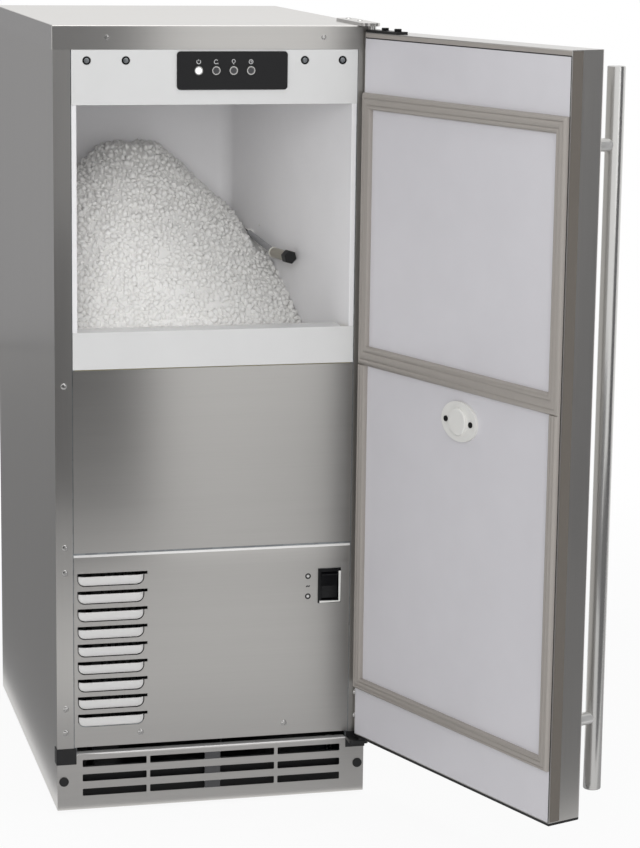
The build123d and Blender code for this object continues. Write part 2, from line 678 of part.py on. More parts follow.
with BuildPart() as fascia_screws:
    recess_y = FRONT - FASCIA_PROUD + RECESS_DEPTH
    rods_back(FASCIA_SPOTS, RECESS_HEAD, FRONT - FASCIA_PROUD, RECESS_DEPTH)
    rods_back(FASCIA_SPOTS, SCREW_SHANK, recess_y, SCREW_LENGTH)
fascia_screws.part.label = "fascia_screws"
export_step(fascia_screws.part, "parts/fascia_screws.step")

with BuildPart() as control_panel:
    with BuildSketch(front_plane(PANEL_BACK_Y)):
        with Locations((PANEL_X_SHIFT, PANEL_Z)):
            RectangleRounded(PANEL_WIDTH, PANEL_HEIGHT, PANEL_CORNER)
    extrude(amount=PANEL_THICK)
    fillet(control_panel.faces().sort_by(Axis.Y)[0].edges(), PANEL_ROUND)
    rods_back(BUTTON_SPOTS, BUTTON_RADIUS + BUTTON_ROOM, PANEL_FRONT_Y, PANEL_THICK, Mode.SUBTRACT)
control_panel.part.label = "control_panel"
export_step(control_panel.part, "parts/control_panel.step")

for spot, name in zip(BUTTON_SPOTS, BUTTON_NAMES):
    with BuildPart() as button:
        rods_back([spot], BUTTON_RADIUS, PANEL_FRONT_Y - BUTTON_PROUD, BUTTON_DEPTH)
        fillet(button.faces().sort_by(Axis.Y)[0].edges(), BUTTON_PROUD / 2)
    button.part.label = name
    export_step(button.part, f"parts/{name}.step")

with BuildPart() as control_board:
    board_x = PANEL_WIDTH / 2
    board_z = PANEL_HEIGHT / 2
    board_y = FRAME_Y + BOARD_STANDOFF
    slab((PANEL_X_SHIFT - board_x, PANEL_X_SHIFT + board_x), (board_y, board_y + BOARD_THICK),
         (PANEL_Z - board_z, PANEL_Z + board_z))
    pins = [(PANEL_X_SHIFT + sx * (board_x - BOARD_EDGE), PANEL_Z + sz * (board_z - BOARD_EDGE))
            for sx in (-1, 1) for sz in (-1, 1)]
    rods_back(pins, BOARD_PIN, FRAME_Y, BOARD_STANDOFF)
    chip_y = board_y + BOARD_THICK
    slab((PANEL_X_SHIFT - CHIP_SIZE / 2, PANEL_X_SHIFT + CHIP_SIZE / 2), (chip_y, chip_y + CHIP_THICK),
         (PANEL_Z - CHIP_SIZE / 2, PANEL_Z + CHIP_SIZE / 2))
control_board.part.label = "control_board"
export_step(control_board.part, "parts/control_board.step")

with BuildPart() as switch_housing:
    bezel_x = BEZEL_WIDTH / 2
    bezel_z = BEZEL_HEIGHT / 2
    body_x = bezel_x - BEZEL_OVERHANG
    body_z = bezel_z - BEZEL_OVERHANG
    slab((SWITCH_X - bezel_x, SWITCH_X + bezel_x), (FRONT - BEZEL_PROUD, FRONT),
         (SWITCH_Z - bezel_z, SWITCH_Z + bezel_z))
    fillet(switch_housing.faces().sort_by(Axis.Y)[0].edges(), BEZEL_PROUD / 2)
    slab((SWITCH_X - body_x, SWITCH_X + body_x), (FRONT, FRONT + SWITCH_BODY),
         (SWITCH_Z - body_z, SWITCH_Z + body_z))
    well_x = ROCKER_WIDTH / 2 + ROCKER_ROOM
    well_z = ROCKER_RADIUS + ROCKER_ROOM
    slab((SWITCH_X - well_x, SWITCH_X + well_x), (FRONT - BEZEL_PROUD, FRONT + WELL_DEPTH),
         (SWITCH_Z - well_z, SWITCH_Z + well_z), Mode.SUBTRACT)
    stub_x = well_x + PIVOT_STUB
    with BuildSketch(Plane.YZ.offset(SWITCH_X - stub_x)):
        with Locations((FRONT + PIVOT_DEPTH, SWITCH_Z)):
            Circle(PIVOT_RADIUS + FIT)
    extrude(amount=2 * stub_x, mode=Mode.SUBTRACT)
switch_housing.part.label = "switch_housing"
export_step(switch_housing.part, "parts/switch_housing.step")

with BuildPart() as power_rocker:
    tilt = radians(ROCKER_TILT)
    pivot_spot = (SWITCH_X, FRONT + PIVOT_DEPTH, SWITCH_Z)
    pivot = Plane(origin=pivot_spot, x_dir=(0, cos(tilt), sin(tilt)), z_dir=(1, 0, 0))
    with BuildSketch(pivot.offset(-ROCKER_WIDTH / 2)):
        Circle(ROCKER_RADIUS)
        crest = -PIVOT_DEPTH - BEZEL_PROUD
        with BuildLine():
            Polyline(
                (crest, -ROCKER_RADIUS),
                (crest + ROCKER_VALLEY, 0),
                (crest, ROCKER_RADIUS),
                (ROCKER_DEPTH - PIVOT_DEPTH, ROCKER_RADIUS),
                (ROCKER_DEPTH - PIVOT_DEPTH, -ROCKER_RADIUS),
                close=True,
            )
        make_face(mode=Mode.INTERSECT)
    extrude(amount=ROCKER_WIDTH)
    stub_span = ROCKER_WIDTH / 2 + ROCKER_ROOM + PIVOT_STUB - FIT
    with BuildSketch(pivot.offset(-stub_span)):
        Circle(PIVOT_RADIUS)
    extrude(amount=2 * stub_span)
power_rocker.part.label = "power_rocker"
export_step(power_rocker.part, "parts/power_rocker.step")

# Ice bin

chute_x = (HEAP_X - SPOUT_WIDTH / 2, HEAP_X + SPOUT_WIDTH / 2)
chute_y = (HEAP_Y - SPOUT_DEPTH / 2, HEAP_Y + SPOUT_DEPTH / 2)
chute_hole_x = (chute_x[0] - FIT, chute_x[1] + FIT)
chute_hole_y = (chute_y[0] - FIT, chute_y[1] + FIT)
drain_spot = (DRAIN_X, FRONT + DRAIN_IN)

with BuildPart() as bin_liner:
    bin_block(LINER, FRONT, SILL_BASE, CEILING + LINER)
    bin_block(LINER, BIN_FRONT - LINER, BIN_FLOOR - LINER, SILL_BASE)
    bin_block(0, FRONT - LINER, SILL_BASE, CEILING, Mode.SUBTRACT)
    bin_block(0, BIN_FRONT, BIN_FLOOR, SILL_BASE, Mode.SUBTRACT)
    for side in (-1, 1):
        slab((side * BIN_HALF, side * PANEL_X), (FRONT, FRAME_Y), (SILL_TOP, FASCIA_LOW))
    slab((-PANEL_X, PANEL_X), (FRONT - LINER, FRAME_Y), (SILL_LOW, SILL_TOP), Mode.SUBTRACT)
    slab((-PANEL_X, PANEL_X), (FRONT - LINER, FRAME_Y), (FASCIA_LOW, CEILING + LINER), Mode.SUBTRACT)
    slab(chute_hole_x, chute_hole_y, (CEILING, CEILING + LINER), Mode.SUBTRACT)
    rods_up([drain_spot], DRAIN_RADIUS - DRAIN_WALL, BIN_FLOOR - LINER, LINER, Mode.SUBTRACT)
bin_liner.part.label = "bin_liner"
export_step(bin_liner.part, "parts/bin_liner.step")

with BuildPart() as bin_insulation:
    foam_x = POST_X - FOAM_SIDE_GAP
    slab((-foam_x, foam_x), (FOAM_FRONT, FOAM_REAR), (SHELF_TOP, FOAM_HIGH))
    slab((-LEAF_X, LEAF_X), (RAIL_Y, FOAM_FRONT), (SHELF_TOP + RAIL_HEIGHT / 2, SILL_BASE))
    bin_block(LINER, FRONT, SILL_BASE, CEILING + LINER, Mode.SUBTRACT)
    bin_block(LINER, BIN_FRONT - LINER, BIN_FLOOR - LINER, SILL_BASE, Mode.SUBTRACT)
    slab(chute_hole_x, chute_hole_y, (CEILING, FOAM_HIGH), Mode.SUBTRACT)
    rods_up([drain_spot], DRAIN_RADIUS + FIT, SHELF_TOP, BIN_FLOOR - SHELF_TOP, Mode.SUBTRACT)
bin_insulation.part.label = "bin_insulation"
export_step(bin_insulation.part, "parts/bin_insulation.step")

with BuildPart() as bin_sill:
    sill_x = right_wall(BIN_FRONT, 0) - FOAM_SIDE_GAP
    slab((-PANEL_X, PANEL_X), (FRONT - SILL_PROUD, FRAME_Y), (SILL_LOW, SILL_TOP))
    fillet(bin_sill.edges().filter_by(Axis.X).group_by(Axis.Y)[0], SILL_PROUD)
    slab((FOAM_SIDE_GAP - BIN_HALF, sill_x), (FRAME_Y, BIN_FRONT), (SILL_BASE, SILL_TOP))
    fillet(bin_sill.edges().filter_by(Axis.X).group_by(Axis.Y)[-1].sort_by(Axis.Z)[-1], SILL_LIP / 2)
bin_sill.part.label = "bin_sill"
export_step(bin_sill.part, "parts/bin_sill.step")

capillary_ahead = (CAPILLARY_GAP - SENSOR_OFF * sin(TAPER_ANGLE)) / cos(TAPER_ANGLE)
capillary_run = SENSOR_BACK - capillary_ahead
cap_dir = Vector(sin(TAPER_ANGLE), -cos(TAPER_ANGLE), 0)
sensor_dir = Vector(0, 0, sin(radians(SENSOR_CLIMB))) - cap_dir
capillary_length = capillary_run * sensor_dir.length
sensor_z = heap_height(wall_point(capillary_ahead, SENSOR_OFF, 0)) - capillary_run * sensor_dir.Z
sensor_near = wall_point(SENSOR_BACK, SENSOR_OFF, sensor_z)
sensor_plane = Plane(origin=sensor_near, z_dir=sensor_dir)
cap_plane = Plane(origin=sensor_near, z_dir=cap_dir)


def sensor_shape(room, mode=Mode.ADD):
    """The sensor's thin capillary, its tube and its sleeve, grown by some room."""
    for radius, length in ((CAPILLARY_RADIUS, capillary_length), (SENSOR_RADIUS, SENSOR_LENGTH)):
        with BuildSketch(sensor_plane) as tube_end:
            Circle(radius + room)
        extrude(tube_end.sketch, amount=length, mode=mode)
    with BuildSketch(cap_plane.offset(-SENSOR_RADIUS)) as sleeve_end:
        Circle(SLEEVE_RADIUS + room)
    extrude(sleeve_end.sketch, amount=SLEEVE_LENGTH, mode=mode)


def cap_shape(room, mode=Mode.ADD):
    """The round cap on the sleeve's near end, grown by some room."""
    with BuildSketch(cap_plane.offset(SLEEVE_LENGTH - SENSOR_RADIUS)) as cap_end:
        Circle(CAP_RADIUS + room)
    extrude(cap_end.sketch, amount=CAP_LENGTH + room, mode=mode)


with BuildPart() as ice_charge:
    bin_block(0, BIN_FRONT, BIN_FLOOR, CEILING)
    heap_height = HEAP_TOP - BIN_FLOOR
    with Locations((HEAP_X, HEAP_Y, BIN_FLOOR + heap_height / 2)):
        Cone(HEAP_CREST + heap_height / HEAP_SLOPE, HEAP_CREST, heap_height, mode=Mode.INTERSECT)
    sensor_shape(HEAP_ROOM, Mode.SUBTRACT)
    cap_shape(HEAP_ROOM, Mode.SUBTRACT)
ice_charge.part.label = "ice_charge"
export_step(ice_charge.part, "parts/ice_charge.step")

with BuildPart() as sensor_tube:
    sensor_shape(0)
sensor_tube.part.label = "sensor_tube"
export_step(sensor_tube.part, "parts/sensor_tube.step")

with BuildPart() as sensor_cap:
    cap_shape(0)
    fillet(sensor_cap.edges().filter_by(GeomType.CIRCLE), CAP_ROUND)
sensor_cap.part.label = "sensor_cap"
export_step(sensor_cap.part, "parts/sensor_cap.step")

with BuildPart() as ice_chute:
    duct_x = (HEAP_X - CHUTE_WIDTH / 2, HEAP_X + CHUTE_WIDTH / 2)
    duct_y = (chute_y[0], COLUMN_Y + CHUTE_REAR)
    slab(duct_x, duct_y, (CHUTE_LOW, CHUTE_LOW + CHUTE_HEIGHT))
    slab(chute_x, chute_y, (CEILING - SPOUT_DROP, CHUTE_LOW))
    way_x = (duct_x[0] + CHUTE_WALL, duct_x[1] - CHUTE_WALL)
    way_y = (duct_y[0] + CHUTE_WALL, duct_y[1] - CHUTE_WALL)
    drop_x = (chute_x[0] + CHUTE_WALL, chute_x[1] - CHUTE_WALL)
    drop_y = (chute_y[0] + CHUTE_WALL, chute_y[1] - CHUTE_WALL)
    slab(way_x, way_y, (CHUTE_LOW + CHUTE_WALL, CHUTE_LOW + CHUTE_HEIGHT - CHUTE_WALL), Mode.SUBTRACT)
    slab(drop_x, drop_y, (CEILING - SPOUT_DROP, CHUTE_LOW + CHUTE_WALL), Mode.SUBTRACT)
    rods_up([(COLUMN_X, COLUMN_Y)], HEAD_RADIUS - HEAD_RIM, CHUTE_LOW, CHUTE_WALL, Mode.SUBTRACT)
ice_chute.part.label = "ice_chute"
export_step(ice_chute.part, "parts/ice_chute.step")

# Hinges

pin_spot = (HINGE_X, HINGE_Y)
bracket_top = DOOR_LOW - BRACKET_GAP

with BuildPart() as hinge_plate:
    plate_near = HINGE_Y - PLATE_REACH
    plate_far = FRONT + PLATE_BACK
    with BuildSketch(Plane.XY.offset(HEIGHT)):
        with Locations((PLATE_X, (plate_near + plate_far) / 2)):
            RectangleRounded(PLATE_WIDTH, plate_far - plate_near, PLATE_CORNER)
    extrude(amount=PLATE_THICK)
    rods_up([pin_spot], PIN_RADIUS + FIT, HEIGHT, PLATE_THICK, Mode.SUBTRACT)
    rods_up(PLATE_SPOTS, SCREW_SHANK + FIT, HEIGHT, PLATE_THICK, Mode.SUBTRACT)
hinge_plate.part.label = "hinge_plate"
export_step(hinge_plate.part, "parts/hinge_plate.step")

with BuildPart() as hinge_pins:
    pin_low = DOOR_TOP - PIN_DEPTH
    rods_up([pin_spot], PIN_RADIUS, pin_low, HEIGHT + PLATE_THICK - pin_low)
    bracket_low = bracket_top - BRACKET_THICK
    rods_up([pin_spot], PIN_RADIUS, bracket_low, DOOR_LOW + PIN_DEPTH - bracket_low)
    chamfer(hinge_pins.edges().filter_by(GeomType.CIRCLE), PIN_CHAMFER)
hinge_pins.part.label = "hinge_pins"
export_step(hinge_pins.part, "parts/hinge_pins.step")

with BuildPart() as lower_hinge_bracket:
    block_y = (FRONT - BLOCK_PROUD, FRAME_Y)
    slab((SHELL_X - BLOCK_WIDTH, SHELL_X), block_y, (BLOCK_LOW, BLOCK_TOP))
    slab((SHELL_X, SHELL_X + SHEET), (FRONT - BLOCK_PROUD, FRONT + BLOCK_WING), (BLOCK_LOW, BLOCK_TOP))
    slab((SHELL_X - BLOCK_WIDTH, SHELL_X), (HINGE_Y - PLATE_REACH, FRONT),
         (bracket_top - BRACKET_THICK, bracket_top))
    corners = lower_hinge_bracket.edges().filter_by(Axis.Z).group_by(Axis.Y)[0]
    fillet(corners, PLATE_CORNER / 2)
    rods_up([pin_spot], PIN_RADIUS + FIT, bracket_top - BRACKET_THICK, BRACKET_THICK, Mode.SUBTRACT)
lower_hinge_bracket.part.label = "lower_hinge_bracket"
export_step(lower_hinge_bracket.part, "parts/lower_hinge_bracket.step")

# Door, drawn on the plane that swings about the hinge axis

door_u = (DOOR_NEAR + SHEET, DOOR_FAR - SHEET)
door_z = (PAN_LOW + SHEET, DOOR_TOP - SHEET)
door_depth = Axis(DOOR_PLANE.origin, DOOR_PLANE.y_dir)
bush_span = PIN_DEPTH + BUSH_END
leaf_v = DOOR_IN + LEAF_EDGE + LEAF_WIDTH / 2
leaf_bolts = [(u, leaf_v) for u in LEAF_BOLTS_U]
magnet_z = SILL_LOW - MAGNET_DROP
magnet_spots = [(MAGNET_U + side * MAGNET_SCREW_SPAN / 2, magnet_z) for side in (-1, 1)]


def bush_holes():
    """Clear the two hinge bushes out of a door piece."""
    for low, high in ((DOOR_LOW, DOOR_LOW + bush_span), (DOOR_TOP - bush_span, DOOR_TOP)):
        with Locations((0, 0, (low + high) / 2)):
            Cylinder(BUSH_RADIUS + FIT, high - low, mode=Mode.SUBTRACT)


def leaf_bolt_holes():
    """Clear the leaf's bolts out of the top of a door piece."""
    for u, v in leaf_bolts:
        with Locations((u, v, DOOR_TOP - SCREW_LENGTH / 2)):
            Cylinder(SCREW_SHANK + FIT, SCREW_LENGTH, mode=Mode.SUBTRACT)


def magnet_screw_rods(v, radius, length, mode=Mode.ADD):
    """Rods or holes for the magnet housing's screws, running outwards from v."""
    with BuildSketch(door_face(v)) as ends:
        with Locations(*magnet_spots):
            Circle(radius)
    extrude(ends.sketch, amount=-length, mode=mode)


with BuildPart(DOOR_PLANE) as door_pan:
    slab((DOOR_NEAR, DOOR_FAR), (DOOR_IN, DOOR_OUT), (PAN_LOW, DOOR_TOP))
    fillet(door_pan.edges().filter_by(Axis.Z).group_by(door_depth)[-1], DOOR_RADIUS)
    slab(door_u, (DOOR_IN, DOOR_OUT - SHEET), door_z, Mode.SUBTRACT)
    bush_holes()
    leaf_bolt_holes()
door_pan.part.label = "door_pan"
export_step(door_pan.part, "parts/door_pan.step")

with BuildPart(DOOR_PLANE) as door_liner:
    slab(door_u, (DOOR_IN, DOOR_IN + DOOR_LINER), door_z)
    bush_holes()
    leaf_bolt_holes()
    magnet_screw_rods(DOOR_IN, MAGNET_SCREW_SHANK + FIT, DOOR_LINER, Mode.SUBTRACT)
door_liner.part.label = "door_liner"
export_step(door_liner.part, "parts/door_liner.step")

with BuildPart(DOOR_PLANE) as door_foam:
    slab(door_u, (DOOR_IN + DOOR_LINER, DOOR_OUT - SHEET), door_z)
    bush_holes()
    leaf_bolt_holes()
    magnet_screw_rods(DOOR_IN + DOOR_LINER, MAGNET_SCREW_SHANK + FIT, SCREW_LENGTH, Mode.SUBTRACT)
door_foam.part.label = "door_foam"
export_step(door_foam.part, "parts/door_foam.step")

with BuildPart(DOOR_PLANE) as door_bottom_strip:
    slab((DOOR_NEAR, DOOR_FAR), (DOOR_IN, DOOR_OUT), (DOOR_LOW, PAN_LOW))
    fillet(door_bottom_strip.edges().filter_by(Axis.Z).group_by(door_depth)[-1], DOOR_RADIUS)
    bush_holes()
door_bottom_strip.part.label = "door_bottom_strip"
export_step(door_bottom_strip.part, "parts/door_bottom_strip.step")

gasket_near = DOOR_NEAR + GASKET_INSET
gasket_far = DOOR_FAR - GASKET_INSET
gasket_u = (gasket_near + gasket_far) / 2
gasket_span = gasket_far - gasket_near
gasket_top = DOOR_TOP - GASKET_TOP_DROP
gasket_low = LOUVRE_TOPS[-2] + GASKET_LOUVRE_GAP

with BuildPart() as upper_gasket:
    ring_low = SILL_LOW + GASKET_MID
    ring_high = gasket_top - GASKET_TOP
    with BuildSketch(door_face(DOOR_IN)):
        with Locations((gasket_u, (SILL_LOW + gasket_top) / 2)):
            Rectangle(gasket_span, gasket_top - SILL_LOW)
        with Locations((gasket_u, (ring_low + ring_high) / 2)):
            Rectangle(gasket_span - 2 * GASKET_SIDE, ring_high - ring_low, mode=Mode.SUBTRACT)
    extrude(amount=GASKET_THICK)
    fillet(upper_gasket.faces().sort_by(door_depth)[0].edges(), GASKET_ROUND)
upper_gasket.part.label = "upper_gasket"
export_step(upper_gasket.part, "parts/upper_gasket.step")

with BuildPart() as lower_gasket:
    with BuildSketch(door_face(DOOR_IN)):
        with Locations((gasket_u, (SILL_LOW + gasket_low) / 2)):
            Rectangle(gasket_span, SILL_LOW - gasket_low)
        with Locations((gasket_u, (SILL_LOW + gasket_low + GASKET_LOW) / 2)):
            Rectangle(gasket_span - 2 * GASKET_LOW, SILL_LOW - gasket_low - GASKET_LOW, mode=Mode.SUBTRACT)
    extrude(amount=GASKET_THICK)
    seal_edges = lower_gasket.faces().sort_by(door_depth)[0].edges()
    fillet(seal_edges.filter_by(lambda edge: edge.center().Z < SILL_LOW - GASKET_ROUND), GASKET_ROUND)
lower_gasket.part.label = "lower_gasket"
export_step(lower_gasket.part, "parts/lower_gasket.step")

with BuildPart() as magnet_housing:
    with BuildSketch(door_face(DOOR_IN)):
        with Locations((MAGNET_U, magnet_z)):
            Ellipse(MAGNET_LONG / 2, MAGNET_SHORT / 2)
    extrude(amount=MAGNET_THICK)
    with BuildSketch(door_face(DOOR_IN - MAGNET_THICK)):
        with Locations((MAGNET_U, magnet_z)):
            Circle(MAGNET_DOME_RADIUS)
    extrude(amount=MAGNET_DOME)
    fillet(magnet_housing.faces().sort_by(door_depth)[0].edges(), MAGNET_DOME / 2)
    magnet_screw_rods(DOOR_IN - MAGNET_THICK, MAGNET_SCREW_SHANK + FIT, MAGNET_THICK, Mode.SUBTRACT)
magnet_housing.part.label = "magnet_housing"
export_step(magnet_housing.part, "parts/magnet_housing.step")

with BuildPart(DOOR_PLANE) as door_screws:
    magnet_screw_rods(DOOR_IN - MAGNET_THICK - MAGNET_SCREW_RISE, MAGNET_SCREW_HEAD, MAGNET_SCREW_RISE)
    magnet_screw_rods(DOOR_IN - MAGNET_THICK, MAGNET_SCREW_SHANK, SCREW_LENGTH)
    for u, v in leaf_bolts:
        with Locations((u, v, DOOR_TOP + LEAF_THICK + LEAF_BOLT_RISE / 2)):
            Cylinder(LEAF_BOLT_RADIUS, LEAF_BOLT_RISE)
        with Locations((u, v, DOOR_TOP + LEAF_THICK - SCREW_LENGTH / 2)):
            Cylinder(SCREW_SHANK, SCREW_LENGTH)
door_screws.part.label = "door_screws"
export_step(door_screws.part, "parts/door_screws.step")

with BuildPart(DOOR_PLANE) as hinge_bushes:
    leaf_u = (DOOR_NEAR + LEAF_EDGE, DOOR_NEAR + LEAF_EDGE + LEAF_LENGTH)
    slab(leaf_u, (leaf_v - LEAF_WIDTH / 2, leaf_v + LEAF_WIDTH / 2), (DOOR_TOP, DOOR_TOP + LEAF_THICK))
    with Locations((0, 0, DOOR_TOP - bush_span / 2), (0, 0, DOOR_LOW + bush_span / 2)):
        Cylinder(BUSH_RADIUS, bush_span)
    with Locations((0, 0, DOOR_TOP + LEAF_THICK - bush_span / 2)):
        Cylinder(PIN_RADIUS + FIT, bush_span + 2 * LEAF_THICK, mode=Mode.SUBTRACT)
    with Locations((0, 0, DOOR_LOW + bush_span / 2)):
        Cylinder(PIN_RADIUS + FIT, bush_span, mode=Mode.SUBTRACT)
    for u, v in leaf_bolts:
        with Locations((u, v, DOOR_TOP + LEAF_THICK / 2)):
            Cylinder(SCREW_SHANK + FIT, LEAF_THICK, mode=Mode.SUBTRACT)
hinge_bushes.part.label = "hinge_bushes"
export_step(hinge_bushes.part, "parts/hinge_bushes.step")

handle_u = DOOR_FAR - HANDLE_IN
handle_v = DOOR_OUT + HANDLE_OFF
handle_low = PAN_LOW + HANDLE_END
handle_high = DOOR_TOP - HANDLE_END
handle_mid = (handle_low + handle_high) / 2

with BuildPart(DOOR_PLANE) as handle_bar:
    with Locations((handle_u, handle_v, handle_mid)):
        Cylinder(HANDLE_RADIUS, handle_high - handle_low)
    chamfer(handle_bar.edges().filter_by(GeomType.CIRCLE), HANDLE_CHAMFER)
handle_bar.part.label = "handle_bar"
export_step(handle_bar.part, "parts/handle_bar.step")

with BuildPart(DOOR_PLANE) as handle_posts:
    with BuildSketch(door_face(DOOR_OUT)) as post_ends:
        with Locations((handle_u, handle_low + HANDLE_POST_IN), (handle_u, handle_high - HANDLE_POST_IN)):
            Circle(HANDLE_POST_RADIUS)
    extrude(post_ends.sketch, amount=-HANDLE_OFF)
    with Locations((handle_u, handle_v, handle_mid)):
        Cylinder(HANDLE_RADIUS + FIT, handle_high - handle_low, mode=Mode.SUBTRACT)
handle_posts.part.label = "handle_posts"
export_step(handle_posts.part, "parts/handle_posts.step")

# Feet

for spot, name in zip(FOOT_SPOTS, FOOT_NAMES):
    with BuildPart() as foot:
        rods_up([spot], FOOT_RADIUS, 0, FOOT_THICK)
        chamfer(foot.edges().filter_by(GeomType.CIRCLE).sort_by(Axis.Z)[-1], FOOT_CHAMFER)
        rods_up([spot], FOOT_STEM, FOOT_THICK, FOOT_RISE - FOOT_THICK)
    foot.part.label = name
    export_step(foot.part, f"parts/{name}.step")

# Ice-making column

column = (COLUMN_X, COLUMN_Y)

with BuildPart() as gearmotor:
    gearbox_low = SHELF_TOP + MOTOR_HEIGHT
    rods_up([column], MOTOR_RADIUS, SHELF_TOP, MOTOR_HEIGHT)
    half = GEARBOX_SIZE / 2
    slab((COLUMN_X - half, COLUMN_X + half), (COLUMN_Y - half, COLUMN_Y + half), (gearbox_low, GEARBOX_TOP))
    fillet(gearmotor.edges().filter_by(Axis.Z).filter_by(GeomType.LINE), GEARBOX_CORNER)
    rods_up([column], AUGER_SHAFT + FIT, GEARBOX_TOP - AUGER_SEAT, AUGER_SEAT, Mode.SUBTRACT)
gearmotor.part.label = "gearmotor"
export_step(gearmotor.part, "parts/gearmotor.step")

with BuildPart() as evaporator:
    barrel = EVAPORATOR_RADIUS - COIL_RADIUS
    coil_step = (EVAPORATOR_HEIGHT - 2 * EVAPORATOR_FLANGE) / COIL_TURNS
    section = Plane(origin=(COLUMN_X, COLUMN_Y, GEARBOX_TOP), x_dir=(1, 0, 0), z_dir=(0, -1, 0))
    with BuildSketch(section):
        with Locations(((EVAPORATOR_BORE + barrel) / 2, EVAPORATOR_HEIGHT / 2)):
            Rectangle(barrel - EVAPORATOR_BORE, EVAPORATOR_HEIGHT)
        flange_r = (EVAPORATOR_BORE + EVAPORATOR_RADIUS) / 2
        for z in (EVAPORATOR_FLANGE / 2, EVAPORATOR_HEIGHT - EVAPORATOR_FLANGE / 2):
            with Locations((flange_r, z)):
                Rectangle(EVAPORATOR_RADIUS - EVAPORATOR_BORE, EVAPORATOR_FLANGE)
        for turn in range(COIL_TURNS):
            with Locations((barrel, EVAPORATOR_FLANGE + (turn + 1 / 2) * coil_step)):
                Circle(COIL_RADIUS)
    revolve(axis=Axis((COLUMN_X, COLUMN_Y, 0), (0, 0, 1)))
evaporator.part.label = "evaporator"
export_step(evaporator.part, "parts/evaporator.step")

with BuildPart() as auger:
    shaft_low = GEARBOX_TOP - AUGER_SEAT + AUGER_ROOM
    rods_up([column], AUGER_SHAFT, shaft_low, HEAD_LOW + AUGER_SEAT - AUGER_ROOM - shaft_low)
    flight_out = EVAPORATOR_BORE - AUGER_ROOM
    flight_low = GEARBOX_TOP + AUGER_FLIGHT
    flight_high = HEAD_LOW - AUGER_FLIGHT
    root = AUGER_SHAFT - AUGER_ROOM
    with BuildLine(Plane((COLUMN_X, COLUMN_Y, flight_low))):
        flight_path = Helix(AUGER_PITCH, flight_high - flight_low, (root + flight_out) / 2)
    with BuildSketch(Plane(flight_path @ 0, x_dir=(1, 0, 0), z_dir=flight_path % 0)):
        Rectangle(flight_out - root, AUGER_FLIGHT)
    sweep(path=flight_path, is_frenet=True)
auger.part.label = "auger"
export_step(auger.part, "parts/auger.step")

with BuildPart() as extruder_head:
    rods_up([column], HEAD_RADIUS, HEAD_LOW, HEAD_HEIGHT)
    rods_up([column], AUGER_SHAFT + FIT, HEAD_LOW, AUGER_SEAT, Mode.SUBTRACT)
    with BuildSketch(Plane.XY.offset(HEAD_LOW)):
        with Locations(column):
            with PolarLocations((AUGER_SHAFT + HEAD_RADIUS - HEAD_RIM) / 2, HEAD_HOLES):
                Circle(HEAD_HOLE_RADIUS)
    extrude(amount=HEAD_HEIGHT, mode=Mode.SUBTRACT)
extruder_head.part.label = "extruder_head"
export_step(extruder_head.part, "parts/extruder_head.step")

# Water supply and drain

tank_x = (TANK_X - TANK_WIDTH / 2, TANK_X + TANK_WIDTH / 2)
tank_y = (REAR_IN - TANK_DEPTH, REAR_IN)
tank_z = (SHELF_TOP + TANK_RISE, SHELF_TOP + TANK_RISE + TANK_HEIGHT)
float_pivot = (tank_y[0] + FLOAT_PIVOT_IN, tank_z[1] - FLOAT_PIVOT_DROP)
axle_half = TANK_WIDTH / 2 - TANK_WALL / 2

with BuildPart() as water_reservoir:
    slab(tank_x, tank_y, tank_z)
    slab((tank_x[0] + TANK_WALL, tank_x[1] - TANK_WALL), (tank_y[0] + TANK_WALL, tank_y[1] - TANK_WALL),
         (tank_z[0] + TANK_WALL, tank_z[1]), Mode.SUBTRACT)
    with BuildSketch(Plane.YZ.offset(TANK_X - axle_half)):
        with Locations(float_pivot):
            Circle(FLOAT_AXLE + FIT)
    extrude(amount=2 * axle_half, mode=Mode.SUBTRACT)
water_reservoir.part.label = "water_reservoir"
export_step(water_reservoir.part, "parts/water_reservoir.step")

with BuildPart() as float_arm:
    with BuildSketch(Plane.YZ.offset(TANK_X - axle_half + FIT)):
        with Locations(float_pivot):
            Circle(FLOAT_AXLE)
    extrude(amount=2 * (axle_half - FIT))
    with BuildSketch(Plane.YZ.offset(TANK_X - FLOAT_BAR)):
        with Locations(float_pivot):
            Circle(FLOAT_HUB)
    extrude(amount=2 * FLOAT_BAR)
    float_y = float_pivot[0] + FLOAT_ARM
    float_z = float_pivot[1] - FLOAT_HANG
    bar_x = (TANK_X - FLOAT_BAR / 2, TANK_X + FLOAT_BAR / 2)
    bar_z = (float_pivot[1] - FLOAT_BAR / 2, float_pivot[1] + FLOAT_BAR / 2)
    slab(bar_x, (float_pivot[0], float_y), bar_z)
    slab(bar_x, (float_y - FLOAT_BAR, float_y), (float_z, bar_z[1]))
    half = FLOAT_SIZE / 2
    slab((TANK_X - half, TANK_X + half), (float_y - half, float_y + half),
         (float_z - FLOAT_HEIGHT / 2, float_z + FLOAT_HEIGHT / 2))
float_arm.part.label = "float_arm"
export_step(float_arm.part, "parts/float_arm.step")

with BuildPart() as water_inlet_valve:
    half = VALVE_SIZE / 2
    slab((VALVE_X - half, VALVE_X + half), (REAR_IN - VALVE_SIZE, REAR_IN), (VALVE_Z - half, VALVE_Z + half))
    rods_up([(VALVE_X, REAR_IN - half)], VALVE_COIL_RADIUS, VALVE_Z + half, VALVE_COIL_LENGTH)
    rods_back([(VALVE_X, VALVE_Z)], NIPPLE_RADIUS, REAR_IN, BACK + NIPPLE_OUT - REAR_IN)
    rods_back([(VALVE_X, VALVE_Z)], NIPPLE_BORE, REAR_IN, BACK + NIPPLE_OUT - REAR_IN, Mode.SUBTRACT)
water_inlet_valve.part.label = "water_inlet_valve"
export_step(water_inlet_valve.part, "parts/water_inlet_valve.step")

